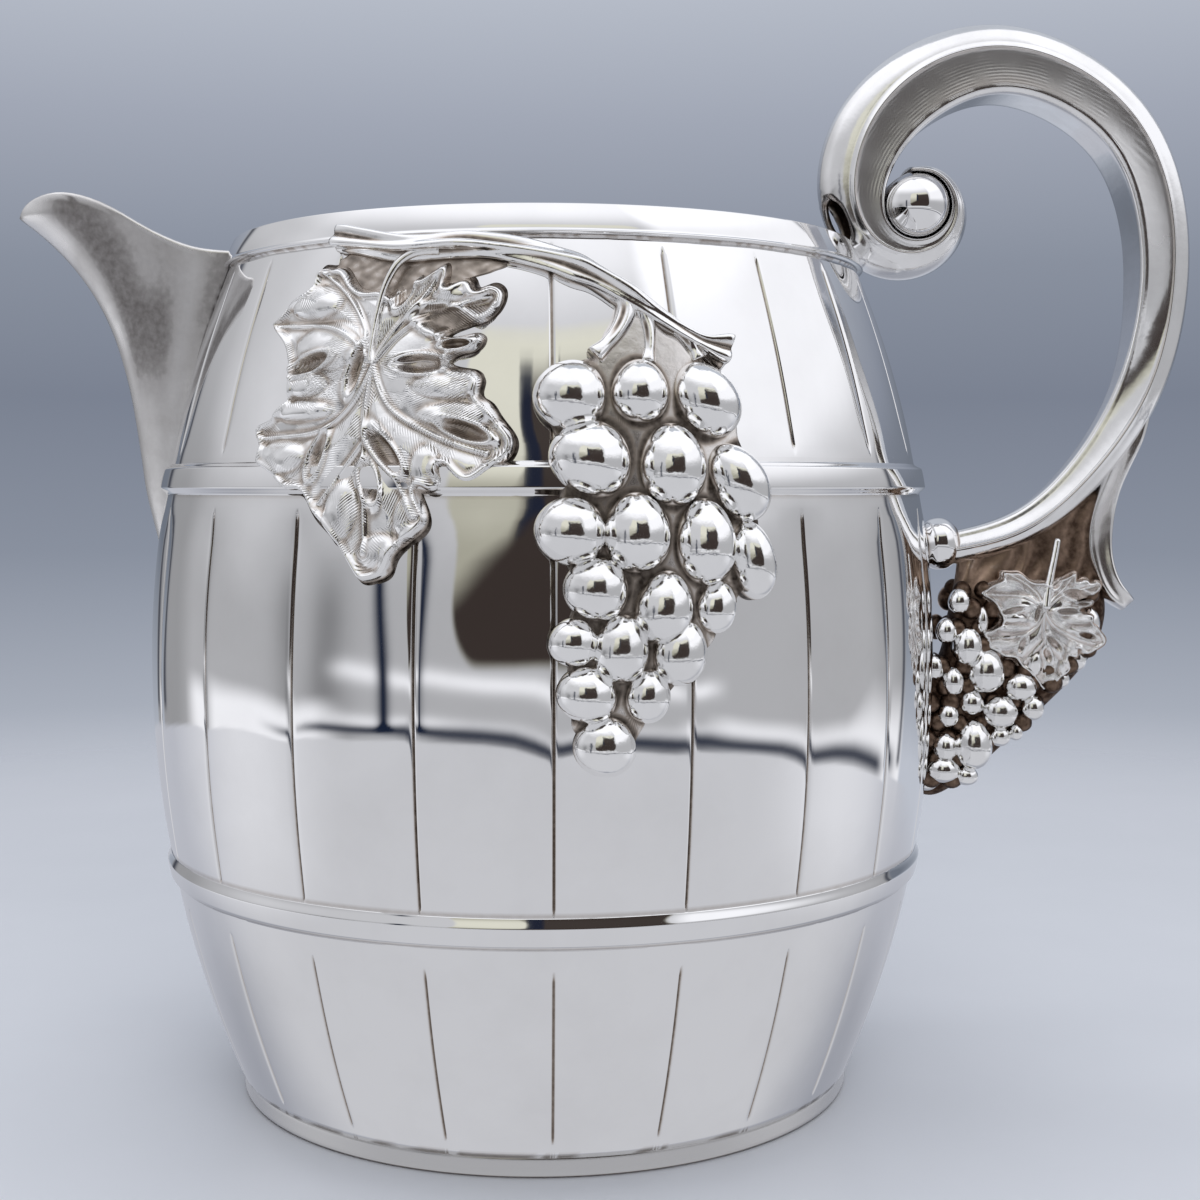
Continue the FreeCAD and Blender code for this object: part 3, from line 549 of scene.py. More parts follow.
# Vine leaves: cast silver, chased after casting with veins, rolled borders, eyelets and fine hatching,
# and soldered on the wall under the rim, one each side. Oxide is left in the hollows and round the edge.
LEAF_ANGLE = -23.0
LEAF_Z = 126.5
LEAF_RADIUS = 64.0
LEAF_NODE = np.array([-0.6, -0.8])
LEAF_OUTLINE = [
    (1.4, 9.6), (3.7, 11.6), (5.7, 12.4), (8.2, 13.9), (9.9, 14.5), (10.6, 12.6), (10.4, 11.0), (12.3, 12.0),
    (14.5, 11.3), (15.0, 10.3), (17.0, 10.9), (19.3, 9.8), (19.2, 8.0), (17.9, 6.0), (14.2, 4.5), (10.6, 3.0),
    (13.2, 3.2), (15.6, 3.4), (16.4, 2.8), (15.9, 1.2), (12.8, 0.1), (11.4, -0.8), (13.7, -1.6), (15.8, -2.2),
    (16.6, -3.5), (16.4, -5.5), (17.7, -6.6), (18.9, -8.2), (20.1, -9.8), (21.6, -12.5), (20.9, -14.8),
    (18.4, -16.7), (15.9, -18.5), (13.3, -18.1), (11.4, -16.3), (11.9, -18.3), (11.1, -19.8), (9.7, -20.0),
    (8.5, -19.4), (9.4, -22.1), (9.3, -25.2), (8.1, -26.4), (6.6, -27.6), (5.2, -29.5), (4.5, -31.7),
    (2.2, -32.9), (0.3, -33.1), (-1.5, -31.2), (-3.3, -28.5), (-5.4, -25.8), (-7.8, -23.6), (-9.4, -21.4),
    (-10.5, -20.1), (-12.7, -19.9), (-14.9, -18.9), (-17.4, -16.8), (-19.6, -15.6), (-19.7, -13.3),
    (-20.9, -11.3), (-20.9, -9.6), (-18.4, -8.4), (-16.8, -7.1), (-15.5, -5.7), (-15.3, -3.6), (-16.2, -1.5),
    (-16.9, 0.1), (-18.0, 2.0), (-21.0, 4.5), (-22.2, 6.2), (-21.0, 7.4), (-17.9, 10.2), (-14.9, 12.1),
    (-15.0, 13.4), (-14.3, 14.6), (-11.7, 14.6), (-9.5, 14.7), (-7.5, 13.5), (-5.9, 11.8), (-3.6, 10.8),
    (-1.2, 10.8), (1.4, 9.6),
]
LEAF_VEINS = [
    [(-0.6, -0.8), (-0.9, -6.4), (-0.6, -12.4), (-0.1, -18.3), (0.4, -24.1), (0.8, -28.6)],
    [(-0.6, -0.8), (2.9, -7.3), (7.1, -10.1), (12.3, -12.5), (17.5, -14.2)],
    [(-0.6, -0.8), (2.5, 3.1), (6.5, 5.8), (11.0, 7.3), (17.5, 8.9)],
    [(-0.6, -0.8), (-3.6, -7.2), (-7.3, -10.3), (-13.1, -11.4), (-19.0, -11.7)],
    [(-0.6, -0.8), (-4.5, 3.2), (-9.1, 5.1), (-14.6, 5.4), (-20.0, 5.7)],
    [(-0.6, -0.8), (2.7, 4.7), (6.2, 8.7), (9.2, 13.2)],
    [(-0.6, -0.8), (-3.4, 5.7), (-7.8, 10.5), (-12.4, 13.4)],
    [(-0.6, -12.4), (3.0, -15.8), (8.0, -23.5)],
    [(-0.6, -12.4), (-3.5, -16.5), (-7.0, -21.5)],
]
LEAF_EYELETS = [
    (7.2, -1.0, 3.1, 1.1, 0, 0.55), (10.8, 5.4, 4.2, 1.7, -14, 0.95), (12.4, 1.9, 1.8, 0.6, 4, 0.8),
    (-3.2, -1.6, 0.8, 2.9, -10, 0.8), (-11.5, -0.5, 3.0, 1.0, 18, 0.5), (2.8, -13.8, 1.1, 3.3, 40, 0.8),
    (-8.0, -14.4, 0.9, 2.8, -16, 0.55), (0.8, -18.4, 1.1, 2.5, 18, 0.95), (14.4, -10.8, 3.0, 1.0, -20, 0.85),
    (3.4, 10.2, 1.0, 2.2, -26, 0.45),
]
LEAF_STROKES = 2.2
LEAF_RELIEF = 3.4
LEAF_EDGE = 0.8
LEAF_BORDER = 1.2
LEAF_PILLOW = 0.9
LEAF_VEIN = 0.8
LEAF_PUFF = 1.7
LEAF_HOLLOW = 0.17
EYELET_DEPTH = 0.88
EYELET_LIP = 0.9
LEAF_SWELLS = [
    (-12.4, -3.7, 3.6, 1.5), (-8.4, 2.2, 5.0, 2.8), (-12.2, -7.6, 4.5, 1.2), (11.9, -4.2, 4.2, 1.5),
    (13.3, -8.6, 4.5, 1.4), (9.1, -16.3, 1.6, 2.6), (-13.0, 9.0, 4.0, 2.0), (13.0, 9.6, 4.0, 1.4),
    (-15.0, -14.5, 3.6, 2.0), (3.0, -28.6, 2.6, 2.0), (-3.4, -22.5, 2.0, 3.6), (6.8, -23.5, 1.4, 2.6),
]
LEAF_GROUND = [(-34.5, 140.0), (-32.0, 143.0), (-26.0, 143.6), (-16.0, 142.8), (-9.0, 141.6), (-5.4, 140.6),
               (-9.6, 138.8), (-15.0, 136.4), (-19.0, 133.0), (-23.0, 132.0), (-28.0, 134.0), (-33.0, 137.6),
               (-34.5, 140.0)]
LEAF_GROUND_MIDDLE = (-21.0, 138.0)
LEAF_GROUND_THICK = 0.25
LEAF_STALK = [(-0.6, -0.8), (-0.7, 3.2), (-0.5, 7.6), (0.2, 11.6), (1.8, 14.6), (4.6, 16.0), (8.4, 16.2)]
STALK_STEPS = 60


def reach_to_line(points, line):
    """Distance from each point to the nearest place on a line of straight runs, and how far along that is."""
    nearest, along, done = np.full(points.shape[:-1], 1e9), np.zeros(points.shape[:-1]), 0.0
    for start, end in zip(line[:-1], line[1:]):
        run = end - start
        share = np.clip(((points - start) @ run) / (run @ run), 0, 1)
        apart = np.linalg.norm(points - start - share[..., None] * run, axis=-1)
        along = np.where(apart < nearest, done + share * np.linalg.norm(run), along)
        nearest = np.minimum(nearest, apart)
        done += np.linalg.norm(run)
    return nearest, along


def in_oval(points, oval):
    """How many times its own size a point lies from the middle of a turned oval."""
    across, up, wide, high, turn = oval
    c, s = math.cos(math.radians(turn)), math.sin(math.radians(turn))
    step = points - np.array([across, up])
    along = (step[..., 0] * c + step[..., 1] * s) / wide
    over = (step[..., 1] * c - step[..., 0] * s) / high
    return np.sqrt(along ** 2 + over ** 2)


def leaf_relief(points, edge):
    """Height, stain and chased lines of the leaf: a rolled border, pillows between it and the veins, a thin
    ridge along every vein, round puffs on the lobes, and eyelets sunk in a raised lip, all held under one
    height. A point that lies lower than the mean of four neighbours is stained as a hollow."""
    reaches = [reach_to_line(points, smooth_curve(vein, 24)) for vein in LEAF_VEINS]
    veins = np.min([apart for apart, _ in reaches], axis=0)
    along = np.choose(np.argmin([apart for apart, _ in reaches], axis=0), [run for _, run in reaches])
    pillow = np.sin(np.pi / 2 * np.clip((np.minimum(edge, veins) - 0.25) / 3.6, 0, 1))
    height = LEAF_EDGE * rise(edge, 0, 0.7) + LEAF_BORDER * hump(edge, 0.95, 0.55) + LEAF_PILLOW * pillow
    height = height + LEAF_VEIN * hump(veins, 0, 0.38)
    stain = 0.95 * fall(edge, 0.0, 0.4) + 0.3 * hump(veins, 0.8, 0.18)
    for across, up, wide, high in LEAF_SWELLS:
        far = in_oval(points, (across, up, 1.35 * wide, 1.35 * high, 0))
        height = height + LEAF_PUFF * np.clip(1 - far ** 2, 0, 1) ** 0.85
    height = LEAF_RELIEF * np.tanh(height / LEAF_RELIEF)
    for *oval, dark in LEAF_EYELETS:
        far = in_oval(points, oval)
        hole, lip = np.exp(-far ** 4), hump(far, 1.42, 0.28)
        height = height * (1 - EYELET_DEPTH * hole) + EYELET_LIP * lip * (1 - height / (LEAF_RELIEF + 1))
        stain = np.maximum(stain * (1 - lip), dark * hole * (0.66 + 0.34 * hump(far, 0.95, 0.35)))
    padded = np.pad(height, ((3, 3), (0, 0)), mode="edge")
    around = (padded[6:] + padded[:-6] + np.roll(height, 3, 1) + np.roll(height, -3, 1)) / 4
    hollow = np.clip((around - height) / LEAF_HOLLOW, 0, 1)
    return height, np.maximum(stain, 0.45 * hollow), LEAF_STROKES * (along - 0.9 * veins)


def leaf_sheet(spoke_count, inner_rows, outer_rows):
    """The leaf in its own plane: spokes from the vein node to the outline, out over a thin brown fillet, then
    back under the leaf. Gives the place, the height, the stain and the chased lines."""
    outline = smooth_curve(LEAF_OUTLINE, spoke_count)
    spokes = outline - LEAF_NODE
    share = np.concatenate([np.linspace(0, 0.72, inner_rows), np.linspace(0.733, 1, outer_rows)])
    flat = LEAF_NODE + spokes * share[:, None, None]
    height, stain, strokes = leaf_relief(flat, reach_to_line(flat, outline)[0])
    fillet = spokes * (1 + 0.5 / np.linalg.norm(spokes, axis=-1))[:, None]
    back = LEAF_NODE + fillet * np.concatenate([[1], np.linspace(1, 0, 6)])[:, None, None]
    low = np.concatenate([[0.1], np.full(6, -0.4)])[:, None] + np.zeros(len(outline))
    return (np.concatenate([flat, back]), np.concatenate([np.maximum(height, 0.15), low]),
            np.concatenate([stain, 0 * low + 0.85]), np.concatenate([strokes, 0 * low]))


def back_of(patches):
    """The same grids on the far side of the jug's middle plane."""
    return [(grid * np.array([1, -1, 1]), *levels) for grid, *levels in patches]


def dress_both(stem, work, front, finish, slot):
    """A piece on the front of the jug and its mirror image on the back."""
    for side, patches in (("front", front), ("back", back_of(front))):
        cad_name = f"{stem}_{side}"
        dress(make_piece(f"{cad_name}_{work}", patches), finish, slot, cad_name)


def unit(vectors):
    """Vectors of length 1 in the same directions."""
    return vectors / np.linalg.norm(vectors, axis=-1, keepdims=True)


def drawn_together(grid, first, last):
    """Closes the two ends of a grid: its first row runs to one point and its last row to another."""
    tips = [np.broadcast_to(tip, grid[:1].shape) for tip in (first, last)]
    return np.concatenate([tips[0], grid, tips[1]])


def tube(path, radius, up, sides, ridges=0.0, turns=0.0):
    """A round section carried along a path, with its ends drawn to a point. Ridges add waves round it that
    drift along it by turns. Gives the grid and how deep each point lies in a furrow, from 0 to 1."""
    along = unit(np.gradient(path, axis=0))
    side = unit(np.cross(along, up))
    out = np.cross(side, along)
    turn = np.linspace(0, 2 * np.pi, sides + 1)[None, :]
    run = np.linspace(0, 1, len(path))[:, None]
    wave = 0.6 * np.sin(5 * turn + turns * run) + 0.4 * np.sin(3 * turn - 2.3 * turns * run)
    ring = np.cos(turn)[..., None] * out[:, None] + np.sin(turn)[..., None] * side[:, None]
    grid = path[:, None] + (radius[:, None] * (1 + ridges * wave))[..., None] * ring
    furrow = np.pad(rise(-wave, 0.25, 0.85), ((1, 1), (0, 0)), mode="edge")
    return drawn_together(grid, path[0], path[-1]), furrow


def wall_outward(path):
    """Level direction out of the barrel at each point of a path."""
    return unit(path * np.array([1, 1, 0]))


def ground_plate(edge, middle, thick, spokes=300, rows=90):
    """A thin plate on the wall: spokes from its middle to a ragged edge, over it, and back underneath."""
    line = smooth_curve(edge, spokes)
    ragged = 1 + 0.012 * np.sin(np.linspace(0, 2 * np.pi, spokes) * 31)
    share = np.concatenate([np.linspace(0, 0.95, rows), [0.98, 1.0, 1.0, 0.75, 0.5, 0.25, 0.0]])
    height = np.concatenate([np.full(rows, thick), [0.8 * thick, 0.08], np.full(5, -0.4)])[:, None]
    flat = middle + (line - middle) * ragged[:, None] * share[:, None, None]
    return flat, on_barrel(flat[..., 0], flat[..., 1], height)


def leaf_on_wall(flat, proud):
    """Bends the leaf's own plane round the barrel, with its height standing out of the wall."""
    return on_barrel(LEAF_ANGLE + np.degrees(flat[..., 0] / LEAF_RADIUS), LEAF_Z + flat[..., 1], proud)


stalk_path = leaf_on_wall(smooth_curve(LEAF_STALK, STALK_STEPS), np.linspace(2.3, 1.5, STALK_STEPS))
stalk_radius = np.linspace(0.25, 0.8, STALK_STEPS)
leaf_stalk = tube(stalk_path, stalk_radius, wall_outward(stalk_path), sides=14, ridges=0.08, turns=4.0)[0]

cast_tones = ((0.97, 0.97, 0.97), (0.56, 0.49, 0.43), (0.030, 0.021, 0.016))
cast = silver("cast_silver", cloud=0.10, polish=0.085, tones=cast_tones, stretch=(1, 1, 1), marks=0.5,
              depth=0.00016, cut=0.22)
leaf_flat, leaf_height, leaf_stain, leaf_strokes = leaf_sheet(spoke_count=620, inner_rows=44, outer_rows=40)
ground_flat, leaf_ground = ground_plate(LEAF_GROUND, LEAF_GROUND_MIDDLE, LEAF_GROUND_THICK)
ground_x, ground_z = ground_flat[..., 0], ground_flat[..., 1]
mottle = np.sin(1.7 * ground_x + 1.3 * np.sin(1.9 * ground_z))
mottle = mottle * np.sin(2.6 * ground_z + 0.9 * np.sin(1.1 * ground_x))
leaf_patches = [(leaf_on_wall(leaf_flat, leaf_height), leaf_stain, 0.0, leaf_strokes), (leaf_stalk, 0.05),
                (leaf_ground, 0.55 + 0.13 * mottle, 0.1)]
dress_both("vine_leaf", "chased", leaf_patches, cast, "cast_silver")

# Vine branches: cast as a knotted twig with a cut end, three stalks and a flared tip, and soldered along
# the rim above each leaf and bunch. Bark furrows run along it.
BRANCH_KNOTS = [(-33.6, 145.6), (-28.0, 144.6), (-21.4, 143.4), (-13.7, 143.5), (-6.4, 142.9), (0.8, 141.3),
                (7.7, 138.4), (13.0, 134.7), (18.4, 130.9), (23.0, 128.4), (25.2, 127.6)]
BRANCH_RADIUS = 1.9
BRANCH_SWELLS = [(0.02, 0.04, 0.16), (0.34, 0.05, 0.12), (0.62, 0.04, 0.18), (0.75, 0.05, 0.12)]
BRANCH_STEPS = 190
STALKS = [[(9.6, 137.6), (11.4, 134.8), (10.4, 131.0), (6.6, 126.6)],
          [(13.2, 134.8), (14.2, 131.5), (13.7, 125.8)], [(16.6, 132.4), (19.4, 129.9), (21.0, 126.4)]]
STALK_RADIUS = [1.35, 1.05, 1.05]
BUNCH_STALK_STEPS = 50
SOLDER_DEPTH = 0.5


def seat_on_wall(grid):
    """Keeps a casting out of the jug: a point deeper under the wall than the solder moves out to there."""
    across = np.hypot(grid[..., 0], grid[..., 1])
    out = np.maximum((wall_radius(np.clip(grid[..., 2], 0, BARREL_HEIGHT)) - SOLDER_DEPTH) / across, 1.0)
    return grid * np.stack([out, out, np.ones_like(out)], -1)


def branch_patches():
    """Tubes on the wall: the branch swells at each knot and flares at its tip, the stalks taper."""
    line = smooth_curve(BRANCH_KNOTS, BRANCH_STEPS)
    run = np.linspace(0, 1, BRANCH_STEPS)
    swell = sum(share * hump(run, place, width) for place, width, share in BRANCH_SWELLS)
    thick = BRANCH_RADIUS * (0.92 + swell - 0.3 * rise(run, 0.7, 0.9) + 0.75 * rise(run, 0.93, 1.0))
    path = on_barrel(line[:, 0], line[:, 1], 0.9 + 0.35 * np.sin(9 * run))
    tubes = [tube(path, thick, wall_outward(path), sides=64, ridges=0.28, turns=6.0)]
    run = np.linspace(0, 1, BUNCH_STALK_STEPS)
    for knots, radius in zip(STALKS, STALK_RADIUS):
        line = smooth_curve(knots, BUNCH_STALK_STEPS)
        path = on_barrel(line[:, 0], line[:, 1], 1.0)
        taper = radius * (1.1 - 0.25 * run + 0.3 * rise(run, 0.8, 1))
        tubes.append(tube(path, taper, wall_outward(path), sides=24, ridges=0.10, turns=3.0))
    patches = []
    for grid, furrow in tubes:
        off_wall = np.hypot(grid[..., 0], grid[..., 1]) - wall_radius(grid[..., 2])
        stain = np.maximum(0.9 * fall(off_wall, 0.0, 0.8), 0.8 * furrow)
        patches.append((seat_on_wall(grid), stain))
    return patches


dress_both("vine_branch", "chased", branch_patches(), cast, "cast_silver")

# Grape bunches: cast in one with a thin backing, each grape burnished bright and the ground between them
# left matt and brown, then soldered on the wall under the branch.
GRAPES = [
    (3.3, 120.7, 5.5, 5.4, 30), (12.3, 121.3, 4.5, 5.0, 4), (21.4, 120.2, 5.0, 6.1, -28),
    (5.7, 111.6, 6.3, 5.6, 30), (15.9, 110.6, 5.0, 6.3, 0), (24.7, 108.0, 4.5, 6.3, -26),
    (3.1, 101.2, 5.3, 5.0, 25), (11.0, 100.8, 5.0, 6.0, 0), (19.6, 99.4, 4.6, 6.5, 0),
    (26.0, 96.6, 3.6, 6.0, -8), (6.1, 92.8, 4.9, 4.7, 30), (14.1, 89.9, 4.4, 5.6, 12),
    (20.9, 89.9, 3.2, 4.1, 14), (3.4, 85.1, 3.8, 3.6, 10), (8.9, 84.1, 4.1, 5.1, 8),
    (16.1, 83.4, 4.0, 5.0, 14), (4.9, 77.6, 4.5, 4.2, 25), (12.1, 77.2, 3.5, 4.1, 10),
    (7.0, 70.0, 4.5, 4.5, 20),
]
GRAPE_DEPTH = 0.92
GRAPE_LIFT = 0.16
GRAPE_LEAN = 190
BUNCH_EDGE = [
    (0.6, 121.0), (3.5, 124.6), (7.0, 127.5), (11.0, 134.6), (15.5, 132.6), (20.5, 128.0), (24.6, 121.5),
    (26.6, 108.0), (27.2, 96.0), (22.4, 88.5), (17.4, 80.0), (12.6, 75.0), (8.6, 68.0), (5.0, 69.0),
    (3.0, 77.0), (2.2, 85.0), (3.4, 93.0), (0.8, 101.0), (2.4, 110.0), (0.6, 117.0), (0.6, 121.0),
]
BUNCH_MIDDLE = (12.5, 101.0)
BUNCH_BACKING = 1.3


def grape_grid(middle, side, up, out, sizes, tilt, steps=23):
    """An egg on its own axes: a sphere stretched to three sizes, narrower towards its stalk and uneven."""
    lat = np.linspace(-0.5, 0.5, steps)[:, None] * np.pi
    lon = np.linspace(0, 2 * np.pi, steps + steps // 2)[None, :]
    narrow = 1 - 0.10 * np.sin(lat) + 0.025 * np.sin(2 * lon + tilt) * np.cos(lat)
    a = np.cos(lat) * np.cos(lon) * sizes[0] * narrow
    b = np.sin(lat) * sizes[1] + 0 * lon
    c = np.cos(lat) * np.sin(lon) * sizes[2] * narrow
    cos, sin = math.cos(math.radians(tilt)), math.sin(math.radians(tilt))
    across, high = a * cos + b * sin, b * cos - a * sin
    return middle + across[..., None] * side + high[..., None] * up + c[..., None] * out


def wall_bunch():
    """Every grape stands on the wall with its middle a little proud, over a backing with a ragged edge."""
    patches = []
    for angle, z, wide, high, tilt in GRAPES:
        radius = (wide + high) / 2
        middle = on_barrel(angle, z, GRAPE_LIFT * radius)
        turn = math.radians(angle)
        out = unit(np.array([math.sin(turn), -math.cos(turn), (z - BARREL_HEIGHT / 2) / GRAPE_LEAN]))
        side = unit(np.cross([0, 0, 1], out))
        grid = grape_grid(middle, side, np.cross(out, side), out, (wide, high, GRAPE_DEPTH * radius), tilt)
        above = (grid - on_barrel(angle, z)) @ out
        patches.append((seat_on_wall(grid), 0.95 * fall(above, 0.5, 1.7)))
    flat, plate = ground_plate(BUNCH_EDGE, BUNCH_MIDDLE, BUNCH_BACKING)
    ground = flat * np.array([math.radians(1) * BELLY_RADIUS, 1])
    ovals = [(math.radians(angle) * BELLY_RADIUS, *grape) for angle, *grape in GRAPES]
    near = np.min([in_oval(ground, oval) for oval in ovals], axis=0)
    patches.append((plate, 0.20 + 0.65 * fall(near, 1.0, 1.22), 0.4))
    return patches


dress_both("grape_bunch", "burnished", wall_bunch(), cast, "cast_silver")

# Scroll handle: two hollow castings soldered along the middle plane. A flat strap with a domed back rolls
# up into a volute, open at the rim, and thins down to the knuckle. Its sides keep the marks of the file.
EYE = np.array([66.9, 0.0, 157.8])
EYE_RADIUS = 6.05
HANDLE_WIDTH = 12.0
KNUCKLE = np.array([68.6, 0.0, 97.3])
VOLUTE_START = 102.0
VOLUTE_SWEEP = 282.0
STRAP_STATIONS = [
    (-4.6, 67.0, 6.8, 6.0, 0.0), (2.7, 75.6, 8.6, 5.4, 0.0), (14.6, 80.3, 8.2, 5.0, 0.0),
    (25.0, 77.9, 7.6, 4.7, 0.0), (34.4, 70.7, 7.0, 4.4, 0.0), (39.4, 59.5, 6.7, 4.1, 0.3),
    (40.2, 46.0, 6.2, 4.0, 0.8), (37.1, 30.1, 5.2, 3.8, 1.6), (28.5, 15.1, 3.9, 3.4, 2.8),
    (17.1, 5.2, 3.4, 3.1, 4.0), (5.0, 1.6, 3.1, 2.9, 5.0),
]
HANDLE_STEPS = 330
HANDLE_SHEET = 1.0
ARM_FLARE = 0.55
WINDOW_Z = (150.2, 160.2)
WINDOW_COLUMNS = [2, 10]
INNER_COLUMNS = 7
BEVEL_COLUMNS = 5
SIDE_COLUMNS = 9
BEAD_COLUMNS = 5
BEAD_RADIUS = 0.28
DOME_COLUMNS = 25
DOME_EDGE = 0.06


def handle_line():
    """Rows of x, z, side, dome and width: the volute is an arc round the eye, then the strap's stations."""
    share = np.linspace(0, 1, 9)
    turn = np.radians(VOLUTE_START - VOLUTE_SWEEP * share)
    volute = np.stack([EYE[0] + EYE_RADIUS * np.cos(turn), EYE[2] + EYE_RADIUS * np.sin(turn),
                       0.3 + 4.7 * share ** 2, 0.9 + 4.7 * share, HANDLE_WIDTH + 0 * share], -1)
    reach, up, side, dome, narrower = np.array(STRAP_STATIONS).T
    lean = np.minimum(up / (EYE[2] - KNUCKLE[2]), 1.0)
    strap = np.stack([KNUCKLE[0] + (EYE[0] - KNUCKLE[0]) * lean + reach, KNUCKLE[2] + up, side, dome,
                      HANDLE_WIDTH - narrower], -1)
    return smooth_curve(np.concatenate([volute, strap]), HANDLE_STEPS)


def strap_loop(side, dome, half, bevel, taper, turn):
    """Section from the middle of the inner face round to it again: bevel, hollowed side, bead, domed back.

    The taper makes it narrower at the bead than at the bevel, and turn places the points round the dome.
    """
    flat = np.linspace(0, 1, INNER_COLUMNS)[None, :]
    inner_x, inner_y = flat * (half - bevel), 0 * flat * half
    round_turn = np.linspace(0.15, 1, BEVEL_COLUMNS)[None, :] * np.pi / 2
    bevel_x = half - bevel + bevel * np.sin(round_turn)
    bevel_y = bevel * (1 - np.cos(round_turn))
    up = np.linspace(0.08, 0.9, SIDE_COLUMNS)[None, :]
    side_x = half - taper * up - 0.22 * np.sin(up * np.pi)
    side_y = bevel + (side - bevel) * up
    bead_turn = np.linspace(-0.4, 0.5, BEAD_COLUMNS)[None, :] * np.pi
    bead_x = half - taper - 0.02 + BEAD_RADIUS * np.cos(bead_turn)
    bead_y = side + BEAD_RADIUS * np.sin(bead_turn)
    dome_x = (half - taper - 0.1) * np.cos(turn)
    dome_y = side + 0.1 + (dome - 0.1) * np.sin(turn)
    right_x = np.concatenate([inner_x, bevel_x, side_x, bead_x], 1)
    right_y = np.concatenate([inner_y, bevel_y, side_y, bead_y], 1)
    x = np.concatenate([right_x, dome_x, -right_x[:, ::-1]], 1)
    y = np.concatenate([right_y, dome_y, right_y[:, ::-1]], 1)
    return x, y, right_x.shape[1], dome_x.shape[1]


def handle_patches():
    """The section carried along the line, the same 1 mm smaller inside, with two windows in the dome.

    Round a window the points of the dome draw together along the section as the root of 1 less the square of
    the distance from its middle row, which makes it an oval.
    """
    x, z, side, dome, width = handle_line().T
    along = unit(np.gradient(np.stack([x, z], -1), axis=0))
    out = np.stack([-along[:, 1], 0 * x, along[:, 0]], -1)
    base = np.stack([x, 0 * x, z], -1)
    run = np.linspace(0, 1, len(x))
    bevel = (0.5 + 0.7 * rise(run, 0.12, 0.3))[:, None] * np.minimum(1, side / 3)[:, None]
    taper = (0.35 + 0.75 * rise(run, 0.40, 0.62))[:, None] * np.minimum(1, side / 5)[:, None]
    flare = ARM_FLARE * (side * rise(run, 0.62, 0.80))[:, None]
    taper = taper * fall(run, 0.62, 0.80)[:, None] - flare
    crest = base + (side + dome)[:, None] * out
    by_rim = (crest[:, 0] < 60) & (crest[:, 2] > WINDOW_Z[0]) & (crest[:, 2] < WINDOW_Z[1]) & (run < 0.4)
    first, last = np.flatnonzero(by_rim)[[0, -1]]
    from_middle = np.abs(2 * np.arange(len(x)) - first - last) / (last - first)
    oval = np.sqrt(np.clip(1 - from_middle ** 2, 0.01, 1))
    open_share = np.where(from_middle < 1, oval, rise(from_middle, 1, 1.6))
    dome_share = np.linspace(DOME_EDGE, 1 - DOME_EDGE, DOME_COLUMNS)
    left, right = dome_share[WINDOW_COLUMNS]
    half = (right - left) / 2
    squeeze = np.interp(dome_share, (DOME_EDGE, left, right, 0.5, 1 - right, 1 - left, 1 - DOME_EDGE),
                        (0, half, -half, 0, half, -half, 0))
    turn = np.pi * (dome_share + (1 - np.maximum(open_share, 0.1))[:, None] * squeeze)
    half_width = width[:, None] / 2
    section = strap_loop(side[:, None], dome[:, None], half_width - flare, bevel, taper, turn)
    across, up, flank, crown = section

    def placed(across, up):
        """Points at these distances across the middle plane and out from the line."""
        return base[:, None] + up[..., None] * out[:, None] + across[..., None] * np.array([0, -1, 0])

    skin = placed(across, up)
    middle = (side + dome)[:, None] / 2
    inside_up = middle + (up - middle) * (1 - HANDLE_SHEET / np.maximum(middle, 1.4))
    lining = placed(across * (1 - HANDLE_SHEET / half_width), inside_up)
    column = np.arange(across.shape[1])[None, :]
    from_end = column[:, ::-1]
    side_start = INNER_COLUMNS + BEVEL_COLUMNS - 1
    side_end = flank - BEAD_COLUMNS + 1
    near_side = (column > side_start) & (column < side_end)
    far_side = (from_end >= side_start) & (from_end < side_end - 1)
    flat_side = near_side | far_side
    edge = hump(column, side_end - 0.5, 0.8) + hump(from_end, side_end - 0.5, 0.8)
    strokes = 1.7 * up * flat_side * fall(run, 0.40, 0.60)[:, None]
    smudge = hump(run, 0.35, 0.09)[:, None] * hump(up / np.maximum(side, 1)[:, None], 0.22, 0.20) * flat_side
    stain = 0.35 * edge * np.ones_like(x)[:, None] + 0.22 * smudge
    satin = 0.82 * flat_side * (rise(run, 0.10, 0.17) - 0.85 * rise(run, 0.50, 0.68))[:, None]
    opened = slice(first, last + 1)
    low, high = WINDOW_COLUMNS
    windows = [(flank + low, flank + high), (flank + crown - 1 - high, flank + crown - 1 - low)]
    pieces = [(slice(0, first + 1), slice(None)), (slice(last, None), slice(None)),
              (opened, slice(0, windows[0][0] + 1)), (opened, slice(windows[0][1], windows[1][0] + 1)),
              (opened, slice(windows[1][1], None))]
    patches = []
    for part in pieces:
        patches += [(skin[part], stain[part], satin[part], strokes[part]), (lining[part], 0.66)]
    for left, right in windows:
        span = slice(left, right + 1)
        borders = [(first, span), (last, span), (opened, left), (opened, right)]
        patches += [(strip(skin[border], lining[border]), 0.4, 0.2) for border in borders]
    patches += [(end_cap(skin[0]), 0.3), (end_cap(skin[-1]), 0.6)]
    return patches + [(end_cap(lining[end]), 0.95) for end in (0, -1)]


handle_tones = ((0.95, 0.95, 0.955), (0.47, 0.40, 0.345), (0.11, 0.060, 0.030))
handle_finish = silver("handle_silver", cloud=0.22, polish=0.13, tones=handle_tones, stretch=(1, 0.25, 1),
                       marks=0.35, depth=0.00012, cut=0.07)
handle = make_piece("scroll_handle", handle_patches())
dress(handle, handle_finish, "handle_silver", "handle_half_front", "handle_half_back")

